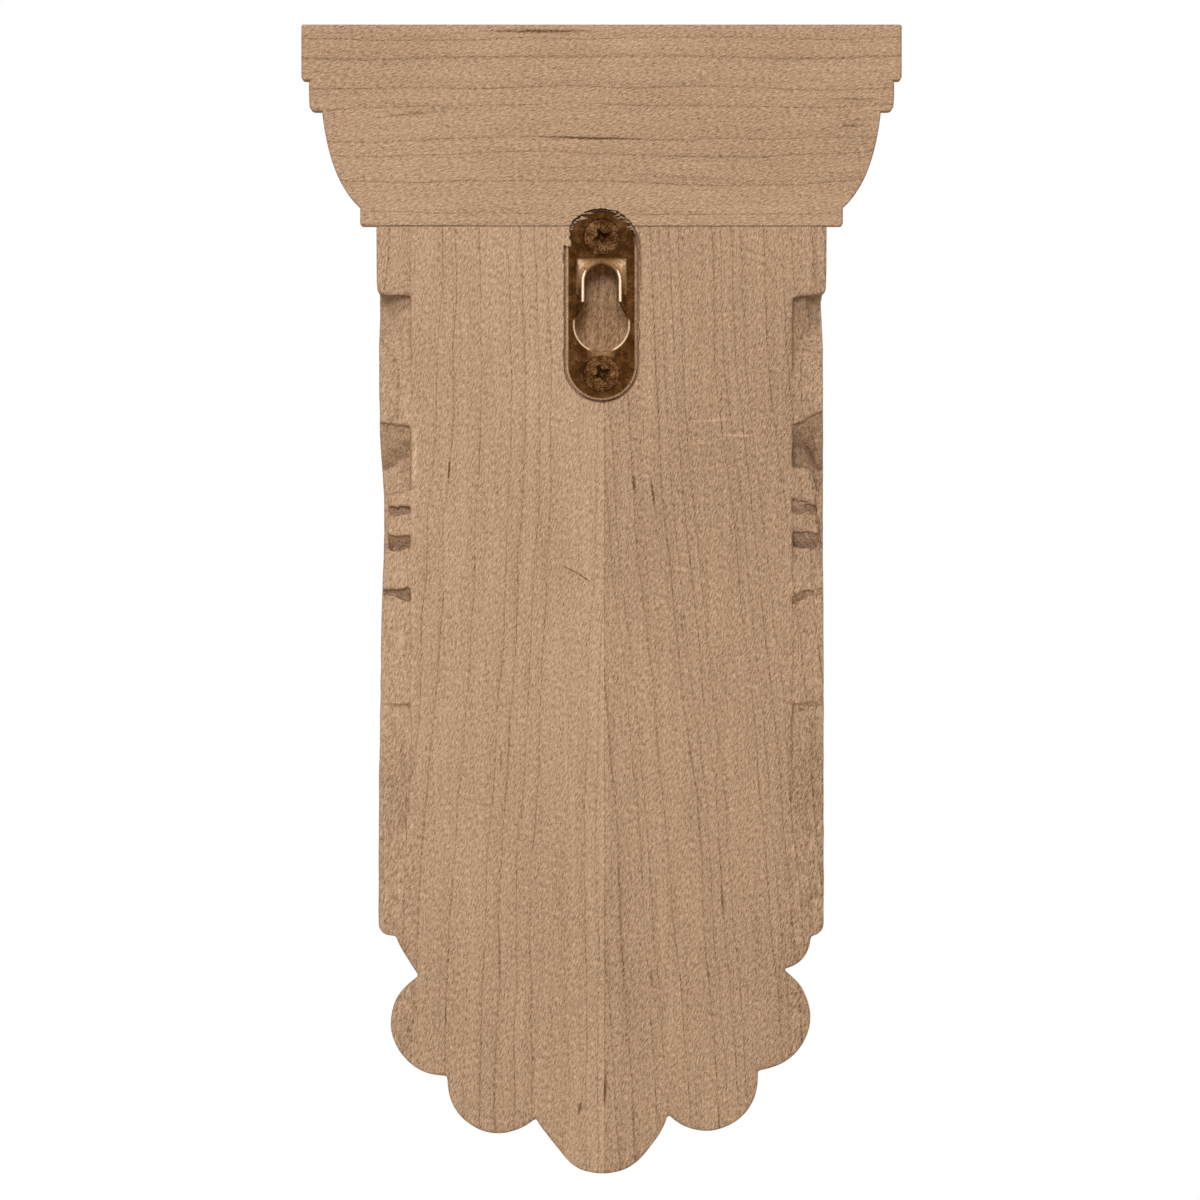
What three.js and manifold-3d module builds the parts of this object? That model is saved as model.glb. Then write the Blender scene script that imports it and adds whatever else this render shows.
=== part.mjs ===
// A small hanging corbel of carved maple: a moulded cap glued across a carved body.
// The body is a console: a volute roll under the cap, an acanthus leaf falling down the
// front, leaf tips let into the sides, and a scalloped foot. A steel keyhole plate is let
// into the back and held by two countersunk screws.
//
// Units are millimetres. +Z is up, the front faces -Y, and the flat back lies on the wall
// plane y = 0. The origin is on that plane, on the centreline, at half the overall height.
// "Down" is measured from the underside of the cap, "up" from the tip of the leaf, and
// "depth" from the wall towards the front. "across" is measured from the centreline.

import * as THREE from "three";
import Module from "manifold-3d";
import { SimplifyModifier } from "three/addons/modifiers/SimplifyModifier.js";
import { mergeVertices } from "three/addons/utils/BufferGeometryUtils.js";

const wasm = await Module();
wasm.setup();

// Overall sizes
const overallHeight = 228.6;
const capHeight = 40;
const bodyWidth = 89.6;
const bodyDepth = 42;

// Cap moulding: heights of its members, and how far each stands beyond the body
const topFilletHeight = 10.9;
const topFilletOverhang = 14.9;
const beadHeight = 6.2;
const beadOverhang = 13.4;
const ovoloTopOverhang = 10.8;
const ovoloFootOverhang = 3.4;
const neckFilletHeight = 3.8;
const neckFilletOverhang = 3.2;

// Body: plain band at the top, then the carved console, a little narrower
const bandHeight = 13.9;
const carvedSetIn = 0.5;
const sideReliefDepth = 6.8;
const bodyCornerRadius = 2.4;

// Volute roll seen on each side
const voluteRadius = 19.3;
const grooveDepth = 2;
const grooveWidth = 2.2;
const grooveTurns = 1.9;

// Foot of the leaf: round lobes cut through to the back, each by its centre and radius, as
// shares of the carved half width. The carver left the two sides slightly unlike, so each
// side has its own lobes.
const footLobes = [
  { across: 0, up: 0.3, radius: 0.3 },
  { across: -0.47, up: 0.424, radius: 0.23 },
  { across: -0.698, up: 0.707, radius: 0.239 },
  { across: -0.801, up: 1.056, radius: 0.135 },
  { across: 0.46, up: 0.413, radius: 0.23 },
  { across: 0.711, up: 0.679, radius: 0.235 },
  { across: 0.72, up: 1.059, radius: 0.205 },
];
const shoulderShare = 1.072;

// Hanger: keyhole plate, its mortise and the cavity behind the keyhole
const plateLength = 37.8;
const plateWidth = 13.7;
const plateThickness = 1.6;
const plateBelowFace = 0.3;
const plateAboveJoint = 3;
const mortiseClearance = 0.65;
const keyholeRadius = 5.3;
const slotWidth = 6.4;
const keyholeUp = 15.1;
const slotTopDown = 10.8;
const cavityDepth = 9;
const cavityMargin = 1.2;
const cavityHeadroom = 2;

// Screws
const screwInset = 5.3;
const screwHeadRadius = 3.6;
const screwHeadRim = 0.4;
const screwHeadCone = 2.1;
const screwShankRadius = 1.4;
const screwLength = 16;
const screwClearance = 0.2;
const recessDepth = 1.3;
const recessReach = 1.9;
const recessWidth = 0.8;

// Faceting
const leafColumns = 90;
const leafRows = 200;
const leafKeptShare = 0.14;
const lobeSegments = 30;
const screwSegments = 24;

// Places worked out from the sizes above
const topZ = overallHeight / 2;
const tipZ = -overallHeight / 2;
const jointZ = topZ - capHeight;
const bodyHeight = overallHeight - capHeight;
const carvedHalf = bodyWidth / 2 - carvedSetIn;
const coreHalf = bodyWidth / 2 - sideReliefDepth;
const capDepth = bodyDepth + topFilletOverhang;
const plateTopZ = jointZ + plateAboveJoint;
const plateBottomZ = plateTopZ - plateLength;
const plateFaceY = -plateBelowFace;
const plateBackY = plateFaceY - plateThickness;
const keyholeZ = plateBottomZ + keyholeUp;
const slotTopZ = plateTopZ - slotTopDown;
const screwZs = [plateTopZ - screwInset, plateBottomZ + screwInset];
const voluteDown = bandHeight + voluteRadius;
const far = 2 * overallHeight;

// Solids from three.js geometry, joined and cut by manifold-3d

function solid(geometry) {
  const bare = geometry.clone();
  bare.deleteAttribute("normal");
  bare.deleteAttribute("uv");
  const merged = mergeVertices(bare, 1e-4);
  const mesh = new wasm.Mesh({
    numProp: 3,
    vertProperties: new Float32Array(merged.attributes.position.array),
    triVerts: new Uint32Array(merged.index.array),
  });
  return new wasm.Manifold(mesh);
}

function geometryOf(manifold) {
  const mesh = manifold.getMesh();
  const geometry = new THREE.BufferGeometry();
  geometry.setAttribute("position", new THREE.BufferAttribute(mesh.vertProperties, 3));
  geometry.setIndex(new THREE.BufferAttribute(mesh.triVerts, 1));
  geometry.computeVertexNormals();
  return geometry;
}

// A shape drawn as the front sees it (x across, y up), carried from depth a to depth b.
function frontPrism(shape, a, b, curveSegments = 12) {
  const options = { depth: b - a, bevelEnabled: false, curveSegments };
  const geometry = new THREE.ExtrudeGeometry(shape, options);
  geometry.rotateX(Math.PI / 2);
  geometry.translate(0, -a, 0);
  return solid(geometry);
}

// A shape drawn as the side sees it (x is -depth, y up), carried from x = a to x = b.
function sidePrism(shape, a, b, curveSegments = 12) {
  const options = { depth: b - a, bevelEnabled: false, curveSegments };
  const geometry = new THREE.ExtrudeGeometry(shape, options);
  const turn = new THREE.Matrix4().makeBasis(
    new THREE.Vector3(0, 1, 0),
    new THREE.Vector3(0, 0, 1),
    new THREE.Vector3(1, 0, 0),
  );
  geometry.applyMatrix4(turn);
  geometry.translate(a, 0, 0);
  return solid(geometry);
}

// A round bar along the depth, from depth a to depth b.
function depthBar(x, z, radiusAtA, radiusAtB, a, b, segments = 28) {
  const geometry = new THREE.CylinderGeometry(radiusAtA, radiusAtB, b - a, segments);
  geometry.translate(x, -(a + b) / 2, z);
  return solid(geometry);
}

function shapeThrough(points) {
  return new THREE.Shape(points.map(([x, y]) => new THREE.Vector2(x, y)));
}

function mirrored(manifold) {
  return manifold.mirror([1, 0, 0]);
}

// A slot with two round ends, upright, as the front sees it.
function stadium(width, bottom, top) {
  const r = width / 2;
  const shape = new THREE.Shape();
  shape.moveTo(-r, top - r);
  shape.lineTo(-r, bottom + r);
  shape.absarc(0, bottom + r, r, Math.PI, 2 * Math.PI, false);
  shape.lineTo(r, top - r);
  shape.absarc(0, top - r, r, 0, Math.PI, false);
  return shape;
}

// Cap moulding, mitred round the front and both sides

// Draws the moulding from its top edge down; place(overhang, z) says where a point goes.
function drawMoulding(path, place) {
  const round = 0.8;
  const beadTop = topZ - topFilletHeight;
  const ovoloTop = beadTop - beadHeight;
  const ovoloFoot = jointZ + neckFilletHeight;
  const line = (overhang, z) => path.lineTo(...place(overhang, z));
  const curve = (o1, z1, o2, z2) => path.quadraticCurveTo(...place(o1, z1), ...place(o2, z2));
  line(topFilletOverhang, beadTop + round);
  curve(topFilletOverhang, beadTop, topFilletOverhang - round, beadTop);
  line(beadOverhang - round, beadTop);
  curve(beadOverhang, beadTop, beadOverhang, beadTop - beadHeight / 2);
  curve(beadOverhang, ovoloTop, beadOverhang - 2 * round, ovoloTop);
  line(ovoloTopOverhang, ovoloTop);
  const ovoloHeight = ovoloTop - ovoloFoot;
  const bellyOverhang = ovoloFootOverhang + (ovoloTopOverhang - ovoloFootOverhang) * 0.8;
  curve(bellyOverhang, ovoloFoot + ovoloHeight * 0.27, ovoloFootOverhang, ovoloFoot);
  line(neckFilletOverhang, ovoloFoot);
  line(neckFilletOverhang, jointZ + round);
  curve(neckFilletOverhang, jointZ, neckFilletOverhang - round, jointZ);
}

function capSolid() {
  const half = bodyWidth / 2;
  const fromFront = new THREE.Shape();
  fromFront.moveTo(half + topFilletOverhang, topZ);
  drawMoulding(fromFront, (overhang, z) => [half + overhang, z]);
  fromFront.lineTo(0, jointZ);
  fromFront.lineTo(0, topZ);
  const rightHalf = frontPrism(fromFront, 0, far, 5);
  const acrossBlock = rightHalf.add(mirrored(rightHalf));

  const fromSide = new THREE.Shape();
  fromSide.moveTo(-capDepth, topZ);
  drawMoulding(fromSide, (overhang, z) => [-bodyDepth - overhang, z]);
  fromSide.lineTo(0, jointZ);
  fromSide.lineTo(0, topZ);
  return acrossBlock.intersect(sidePrism(fromSide, -far, far, 5));
}

// Ground of the body's front: its depth from the wall, by share of the body's height.
// The depths are shares of the band's depth, and a smooth curve runs through them.
const groundShares = [
  [0, 0.86], [0.074, 0.86], [0.1, 0.9], [0.142, 0.93], [0.184, 0.91], [0.226, 0.84],
  [0.268, 0.73], [0.31, 0.62], [0.37, 0.5], [0.447, 0.39], [0.52, 0.32], [0.61, 0.27],
  [0.69, 0.245], [0.755, 0.25], [0.82, 0.265], [0.88, 0.265], [0.93, 0.235], [0.97, 0.19],
  [1, 0.15],
];
const groundCurve = new THREE.SplineCurve(
  groundShares.map(([share, depth]) => new THREE.Vector2(share, depth)),
);
const groundSamples = groundCurve.getPoints(groundShares.length * 8);

function groundDepth(down) {
  const share = THREE.MathUtils.clamp(down / bodyHeight, 0, 1);
  const after = Math.max(1, groundSamples.findIndex((p) => p.x >= share));
  const a = groundSamples[after - 1];
  const b = groundSamples[after];
  const t = (share - a.x) / (b.x - a.x);
  return bodyDepth * THREE.MathUtils.lerp(a.y, b.y, THREE.MathUtils.clamp(t, 0, 1));
}

// Acanthus leaf. It hangs from the volute with its midrib down the centreline. Each spray
// is four fingers that leave the midrib together and fan out to round tips at the side.
// Across, radius and width are shares of the carved half width; down is a share of the
// body's height; rises and hollows are shares of the band's depth.
const spraySpacing = 0.13;
const firstSpray = 0.08;
const sprayCount = 4;
const fingerTips = [
  { across: 0.711, fall: 0.082 },
  { across: 0.871, fall: 0.127 },
  { across: 0.88, fall: 0.186 },
  { across: 0.655, fall: 0.225 },
];
const fingerRoot = { across: 0.045, spread: 0.027, radius: 0.036, rise: 0.024 };
const fingerTip = { radius: 0.115, rise: 0.086, extraRise: 0.024, hollow: 0.038 };
const footRoot = { across: 0.05, down: 0.595, spread: 0.047, radius: 0.059, rise: 0.038 };
const footTip = { rise: 0.12, hollow: 0.048 };
const midrib = { top: 0.07, foot: 0.93, half: 0.075, footHalf: 0.02, rise: 0.105 };
const eyes = [
  { across: 0.62, fall: 0.045, radius: 0.052 },
  { across: 0.54, fall: 0.029, radius: 0.034 },
];

function makeFinger(root, bend, tip, rootRadius, tipRadius, rootRise, tipRise, hollow) {
  const vectors = [root, bend, tip].map(([x, down]) => new THREE.Vector2(x, down));
  const points = new THREE.QuadraticBezierCurve(...vectors).getPoints(12);
  return { points, rootRadius, tipRadius, rootRise, tipRise, hollow };
}

function sprayFingers(side, start) {
  return fingerTips.map(({ across, fall }, i) => {
    const t = i / (fingerTips.length - 1);
    const rootDown = start + fingerRoot.spread * t;
    const bendAcross = 0.08 + across * (0.5 - 0.27 * t);
    const bendDown = rootDown + fall * (0.16 + 0.4 * t);
    const place = (x, down) => [side * x * carvedHalf, down * bodyHeight];
    return makeFinger(
      place(fingerRoot.across, rootDown),
      place(bendAcross, bendDown),
      place(across, start + fall),
      fingerRoot.radius * carvedHalf,
      fingerTip.radius * carvedHalf,
      fingerRoot.rise * bodyDepth,
      (fingerTip.rise + fingerTip.extraRise * t) * bodyDepth,
      fingerTip.hollow * bodyDepth,
    );
  });
}

function footFinger({ across, up, radius }) {
  const tipDown = bodyHeight - up * carvedHalf;
  const towardsMiddle = 1 - Math.abs(across);
  const rootDown = bodyHeight * (footRoot.down + footRoot.spread * towardsMiddle);
  const tipAcross = across * carvedHalf;
  return makeFinger(
    [tipAcross * footRoot.across, rootDown],
    [tipAcross * 0.42, rootDown + (tipDown - rootDown) * 0.55],
    [tipAcross, tipDown],
    footRoot.radius * carvedHalf,
    radius * carvedHalf,
    footRoot.rise * bodyDepth,
    footTip.rise * bodyDepth,
    footTip.hollow * bodyDepth,
  );
}

const fingers = footLobes.map(footFinger);
for (let k = 0; k < sprayCount; k += 1) {
  const start = firstSpray + k * spraySpacing;
  fingers.push(...sprayFingers(-1, start), ...sprayFingers(1, start));
}

// How high one finger stands over the ground at a point, or 0 outside it. The finger has a
// rounded edge and a hollow gouged along its middle.
function fingerHeight(finger, across, down) {
  const { points, rootRadius, tipRadius, rootRise, tipRise, hollow } = finger;
  let nearest = 1;
  let share = 0;
  for (let i = 1; i < points.length; i += 1) {
    const a = points[i - 1];
    const b = points[i];
    const dx = b.x - a.x;
    const dy = b.y - a.y;
    const along = ((across - a.x) * dx + (down - a.y) * dy) / (dx * dx + dy * dy);
    const t = THREE.MathUtils.clamp(along, 0, 1);
    const reached = (i - 1 + t) / (points.length - 1);
    const radius = rootRadius + (tipRadius - rootRadius) * Math.pow(reached, 0.7);
    const off = Math.hypot(across - a.x - t * dx, down - a.y - t * dy) / radius;
    if (off < nearest) {
      nearest = off;
      share = reached;
    }
  }
  if (nearest >= 1) return 0;
  const edge = Math.sqrt(1 - nearest ** 4);
  const gouge = hollow * Math.max(0, 1 - (nearest / 0.7) ** 2) * Math.sqrt(share);
  return (rootRise + (tipRise - rootRise) * Math.pow(share, 1.2)) * edge - gouge;
}

function midribHeight(across, down) {
  const share = down / bodyHeight;
  if (share > midrib.foot) return 0;
  const t = THREE.MathUtils.clamp((share - midrib.top) / (midrib.foot - midrib.top), 0, 1);
  const half = carvedHalf * THREE.MathUtils.lerp(midrib.half, midrib.footHalf, t * t);
  const off = Math.abs(across) / half;
  const rise = midrib.rise * bodyDepth * THREE.MathUtils.smoothstep(share, 0.06, 0.1);
  return off < 1 ? rise * Math.sqrt(1 - off * off) : 0;
}

// Eyes are small drilled hollows where one spray's edge meets the next.
function eyeHollow(across, down) {
  let deepest = 0;
  for (let k = 1; k < sprayCount; k += 1) {
    for (const eye of eyes) {
      const eyeDown = (firstSpray + k * spraySpacing + eye.fall) * bodyHeight;
      const off = Math.hypot(Math.abs(across) - eye.across * carvedHalf, down - eyeDown);
      const share = off / (eye.radius * carvedHalf);
      if (share < 1) deepest = Math.max(deepest, Math.sqrt(1 - share * share));
    }
  }
  return deepest;
}

function leafHeight(across, down) {
  const heights = fingers.map((finger) => fingerHeight(finger, across, down));
  const top = Math.max(midribHeight(across, down), ...heights);
  const eye = eyeHollow(across, down);
  return top * (1 - eye) - bodyDepth * 0.02 * eye;
}

// The carved front as one closed solid: a grid on the front, and a flat back on the wall.
// The grid's rows fall away from the midrib as the fingers do, so they follow the gouge cuts.
// It is larger all round than the outline that trims it.
async function frontSolid() {
  const spare = 1;
  const rowFall = bodyHeight * 0.14;
  const positions = [];
  const faces = [];
  const add = (x, depth, z) => positions.push(x, -depth, z) / 3 - 1;
  const place = (i, j) => {
    const x = (carvedHalf + spare) * ((2 * i) / leafColumns - 1);
    const fall = rowFall * Math.pow(Math.abs(x) / carvedHalf, 1.1);
    const down = (bodyHeight + rowFall + 2 * spare) * (j / leafRows) - rowFall - spare + fall;
    return { x, down, depth: groundDepth(down) + leafHeight(x, down) };
  };
  const grid = [];
  for (let j = 0; j <= leafRows; j += 1) {
    grid.push([]);
    for (let i = 0; i <= leafColumns; i += 1) {
      const point = place(i, j);
      grid[j].push({ ...point, index: add(point.x, point.depth, jointZ - point.down) });
    }
  }
  for (let j = 0; j < leafRows; j += 1) {
    for (let i = 0; i < leafColumns; i += 1) {
      const [p, q, r, s] = [grid[j][i], grid[j][i + 1], grid[j + 1][i + 1], grid[j + 1][i]];
      const [a, b, c, d] = [p, q, r, s].map(({ index }) => index);
      const flatter = Math.abs(p.depth - r.depth) < Math.abs(q.depth - s.depth);
      if (flatter) faces.push([a, d, c], [a, c, b]);
      else faces.push([a, d, b], [b, d, c]);
    }
  }
  const rim = [
    ...grid[0].slice(0, -1),
    ...grid.slice(0, -1).map((row) => row[leafColumns]),
    ...grid[leafRows].slice(1).reverse(),
    ...grid.slice(1).map((row) => row[0]).reverse(),
  ];
  const back = rim.map(({ x, down }) => add(x, 0, jointZ - down));
  const middle = add(0, 0, jointZ - bodyHeight / 2);
  rim.forEach(({ index }, k) => {
    const next = (k + 1) % rim.length;
    faces.push([index, rim[next].index, back[next]], [index, back[next], back[k]]);
    faces.push([back[k], back[next], middle]);
  });
  const geometry = new THREE.BufferGeometry();
  geometry.setAttribute("position", new THREE.Float32BufferAttribute(positions, 3));
  geometry.setIndex(faces.flat());
  const removed = Math.round((positions.length / 3) * (1 - leafKeptShare));
  return solid(await new SimplifyModifier().modify(geometry, removed));
}

// Outline of the carved part as the front and back see it
function outlineSolid() {
  const shoulder = tipZ + shoulderShare * carvedHalf;
  const r = bodyCornerRadius;
  const trunk = new THREE.Shape();
  trunk.moveTo(-carvedHalf, jointZ);
  trunk.lineTo(-carvedHalf, shoulder + r);
  trunk.absarc(-carvedHalf + r, shoulder + r, r, Math.PI, 1.5 * Math.PI, false);
  trunk.lineTo(carvedHalf - r, shoulder);
  trunk.absarc(carvedHalf - r, shoulder + r, r, -0.5 * Math.PI, 0, false);
  trunk.lineTo(carvedHalf, jointZ);
  let outline = frontPrism(trunk, 0, far, 5);
  const leftLobes = footLobes.filter((lobe) => lobe.across < 0).reverse();
  const rightLobes = footLobes.filter((lobe) => lobe.across > 0);
  const ring = [...leftLobes, footLobes[0], ...rightLobes];
  const centres = ring.map(({ across, up }) => [across * carvedHalf, tipZ + up * carvedHalf]);
  centres.push([centres.at(-1)[0], shoulder + r], [centres[0][0], shoulder + r]);
  outline = outline.add(frontPrism(shapeThrough(centres), 0, far));
  for (const lobe of footLobes) {
    const radius = lobe.radius * carvedHalf;
    const z = tipZ + lobe.up * carvedHalf;
    outline = outline.add(
      depthBar(lobe.across * carvedHalf, z, radius, radius, 0, far, lobeSegments),
    );
  }
  return outline;
}

// Side carving: the relief's back edge, as notches let in from the wall side.
// Each notch runs from its mouth on the back up and forward to a point, like a leaf's eye.
// All are shares of the body's height down and of the band's depth.
const sideNotches = [
  { top: 0.293, bottom: 0.3, reach: 0.3, point: 0.27 },
  { top: 0.324, bottom: 0.339, reach: 0.4, point: 0.3 },
  { top: 0.387, bottom: 0.395, reach: 0.36, point: 0.36 },
  { top: 0.505, bottom: 0.513, reach: 0.24, point: 0.46 },
];
const lastFacet = { top: 0.507, bottom: 0.628, depth: 0.06 };

function notchShape({ top, bottom, reach, point }) {
  const zAt = (share) => jointZ - share * bodyHeight;
  const tipY = -reach * bodyDepth;
  const shape = new THREE.Shape();
  shape.moveTo(1, zAt(top));
  shape.lineTo(0, zAt(top));
  shape.quadraticCurveTo(tipY * 0.75, zAt(top + 0.002), tipY, zAt(point));
  shape.quadraticCurveTo(tipY * 0.7, zAt(bottom + 0.006), 0, zAt(bottom));
  shape.lineTo(1, zAt(bottom));
  return shape;
}

// Open corner between the band, the wall and the round back of the volute.
function voluteCornerShape() {
  const centreZ = jointZ - voluteDown;
  const shape = new THREE.Shape();
  const start = Math.PI * 0.52;
  shape.moveTo(1, jointZ - bandHeight);
  shape.lineTo(-voluteRadius + voluteRadius * Math.cos(start), jointZ - bandHeight);
  for (let k = 0; k <= 10; k += 1) {
    const angle = start - (k / 10) * start;
    const y = Math.min(-0.3, -voluteRadius + voluteRadius * Math.cos(angle));
    shape.lineTo(y, centreZ + voluteRadius * Math.sin(angle));
  }
  shape.lineTo(1, centreZ);
  return shape;
}

// Crescent gap under the volute, above the first leaf tip.
function voluteGapShape() {
  const centreZ = jointZ - voluteDown;
  const start = -0.36;
  const finish = -1.65;
  const shape = new THREE.Shape();
  shape.moveTo(1, centreZ + voluteRadius * Math.sin(start));
  for (let k = 0; k <= 10; k += 1) {
    const angle = start + (k / 10) * (finish - start);
    shape.lineTo(
      -voluteRadius + voluteRadius * Math.cos(angle),
      centreZ + voluteRadius * Math.sin(angle),
    );
  }
  const lipZ = centreZ - voluteRadius * 1.0;
  shape.quadraticCurveTo(-voluteRadius * 0.5, lipZ - 1.5, -0.4, lipZ + 0.3);
  shape.lineTo(1, lipZ + 0.3);
  return shape;
}

// Groove on each side face: a spiral on the volute that runs on down beside the front edge.
function sideGrooveShape() {
  const line = [];
  const steps = 34;
  const outer = voluteRadius * 0.83;
  const inner = voluteRadius * 0.2;
  const centreZ = jointZ - voluteDown;
  for (let k = 0; k <= steps; k += 1) {
    const t = k / steps;
    const angle = -Math.PI * 0.62 - (1 - t) * grooveTurns * 2 * Math.PI;
    const radius = inner + (outer - inner) * t;
    line.push([-voluteRadius + radius * Math.cos(angle), centreZ + radius * Math.sin(angle), t]);
  }
  const inset = bodyDepth * 0.12;
  for (let share = 0.31; share < 0.7; share += 0.045) {
    const down = share * bodyHeight;
    line.push([-groundDepth(down) + inset, jointZ - down, 1]);
  }
  const left = [];
  const right = [];
  line.forEach(([y, z, t], k) => {
    const before = line[Math.max(0, k - 1)];
    const after = line[Math.min(line.length - 1, k + 1)];
    const length = Math.hypot(after[0] - before[0], after[1] - before[1]);
    const half = (grooveWidth / 2) * (0.6 + 0.4 * t) * (k === line.length - 1 ? 0.3 : 1);
    const ny = (-(after[1] - before[1]) / length) * half;
    const nz = ((after[0] - before[0]) / length) * half;
    left.push([y + ny, z + nz]);
    right.push([y - ny, z - nz]);
  });
  return shapeThrough([...left, ...right.reverse()]);
}

function sideCarving() {
  const outer = carvedHalf + 1;
  let cut = sidePrism(voluteCornerShape(), coreHalf, outer);
  cut = cut.add(sidePrism(voluteGapShape(), coreHalf, outer));
  for (const notch of sideNotches) {
    cut = cut.add(sidePrism(notchShape(notch), coreHalf, outer, 5));
  }
  const zAt = (share) => jointZ - share * bodyHeight;
  const facet = shapeThrough([
    [1, zAt(lastFacet.top)],
    [-lastFacet.depth * bodyDepth, zAt(lastFacet.top)],
    [-lastFacet.depth * bodyDepth * 0.7, zAt((lastFacet.top + lastFacet.bottom) / 2)],
    [0, zAt(lastFacet.bottom)],
    [1, zAt(lastFacet.bottom)],
  ]);
  cut = cut.add(sidePrism(facet, coreHalf, outer));
  return cut.add(sidePrism(sideGrooveShape(), carvedHalf - grooveDepth, outer));
}

// Plain band across the top of the body, with a softened lower edge
function bandSolid() {
  const half = bodyWidth / 2;
  const foot = jointZ - bandHeight;
  const r = 1.2;
  const shape = new THREE.Shape();
  shape.moveTo(-half, jointZ);
  shape.lineTo(-half, foot + r);
  shape.quadraticCurveTo(-half, foot, -half + r, foot);
  shape.lineTo(half - r, foot);
  shape.quadraticCurveTo(half, foot, half, foot + r);
  shape.lineTo(half, jointZ);
  const side = new THREE.Shape();
  side.moveTo(0, jointZ);
  side.lineTo(0, foot);
  side.lineTo(-bodyDepth + r, foot);
  side.quadraticCurveTo(-bodyDepth, foot, -bodyDepth, foot + r);
  side.lineTo(-bodyDepth, jointZ);
  return frontPrism(shape, 0, far, 3).intersect(sidePrism(side, -far, far, 3));
}

// Mortise, keyhole cavity and pilot holes for the hanger
function hangerCuts() {
  const grow = 2 * mortiseClearance;
  const mortise = stadium(
    plateWidth + grow,
    plateBottomZ - mortiseClearance,
    plateTopZ + mortiseClearance,
  );
  let cuts = frontPrism(mortise, -1, -plateBackY, 10);
  const cavity = stadium(
    2 * (keyholeRadius + cavityMargin),
    keyholeZ - keyholeRadius - cavityMargin,
    slotTopZ + cavityHeadroom,
  );
  cuts = cuts.add(frontPrism(cavity, 0, -plateBackY + cavityDepth, 8));
  for (const z of screwZs) cuts = cuts.add(screwEnvelope(z, screwClearance));
  return cuts;
}

// Steel plate with its keyhole and two countersunk holes
function plateSolid() {
  const blank = frontPrism(
    stadium(plateWidth, plateBottomZ, plateTopZ), -plateFaceY, -plateBackY, 12,
  );
  const slot = frontPrism(stadium(slotWidth, keyholeZ - slotWidth / 2, slotTopZ), -1, far, 10);
  let plate = blank.subtract(slot);
  plate = plate.subtract(depthBar(0, keyholeZ, keyholeRadius, keyholeRadius, -1, far, 32));
  for (const z of screwZs) plate = plate.subtract(screwEnvelope(z, screwClearance));
  return plate;
}

// Head, cone and shank of a screw as one turned form, grown by a clearance.
function screwEnvelope(z, grow) {
  const headTop = grow > 0 ? -1 : 0;
  const coneFoot = screwHeadRim + screwHeadCone;
  const profile = [
    [0, screwLength],
    [screwShankRadius + grow, screwLength * 0.8],
    [screwShankRadius + grow, coneFoot],
    [screwHeadRadius + grow, screwHeadRim],
    [screwHeadRadius + grow, headTop],
    [0, headTop],
  ];
  const points = profile.map(([radius, depth]) => new THREE.Vector2(radius, -depth));
  const turned = solid(new THREE.LatheGeometry(points, screwSegments));
  return turned.translate([0, plateFaceY, z]);
}

// The cross recess in a screw's head, turned by an angle in degrees.
function crossRecess(z, turn) {
  const half = recessWidth / 2;
  const arm = [[half, half], [recessReach, half], [recessReach, -half]];
  const corners = [];
  for (let k = 0; k < 4; k += 1) {
    const angle = THREE.MathUtils.degToRad(turn - 90 * k);
    for (const [x, y] of arm) {
      corners.push([
        x * Math.cos(angle) - y * Math.sin(angle),
        x * Math.sin(angle) + y * Math.cos(angle) + z,
      ]);
    }
  }
  return frontPrism(shapeThrough(corners.reverse()), -1, plateBelowFace + recessDepth);
}

function screwSolid(z, turn) {
  return screwEnvelope(z, 0).subtract(crossRecess(z, turn));
}

// Materials and pieces

const maple = new THREE.MeshStandardMaterial({ color: 0xb99877, roughness: 0.62, metalness: 0 });
const steel = new THREE.MeshStandardMaterial({ color: 0x5f4023, roughness: 0.42, metalness: 0.85 });
const screwSteel = new THREE.MeshStandardMaterial({ color: 0x6e4f31, roughness: 0.55, metalness: 0.8 });

const corbel = new THREE.Group();

function addPiece(name, manifold, material) {
  const mesh = new THREE.Mesh(geometryOf(manifold), material);
  mesh.name = name;
  corbel.add(mesh);
}

const side = sideCarving();
const front = await frontSolid();
const carved = front.intersect(outlineSolid()).subtract(side).subtract(mirrored(side));
addPiece("carved_body", carved.add(bandSolid()).subtract(hangerCuts()), maple);
addPiece("moulded_cap", capSolid().subtract(hangerCuts()), maple);
addPiece("keyhole_plate", plateSolid(), steel);
addPiece("upper_screw", screwSolid(screwZs[0], 38), screwSteel);
addPiece("lower_screw", screwSolid(screwZs[1], 28), screwSteel);

export default corbel;
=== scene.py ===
import math

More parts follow.
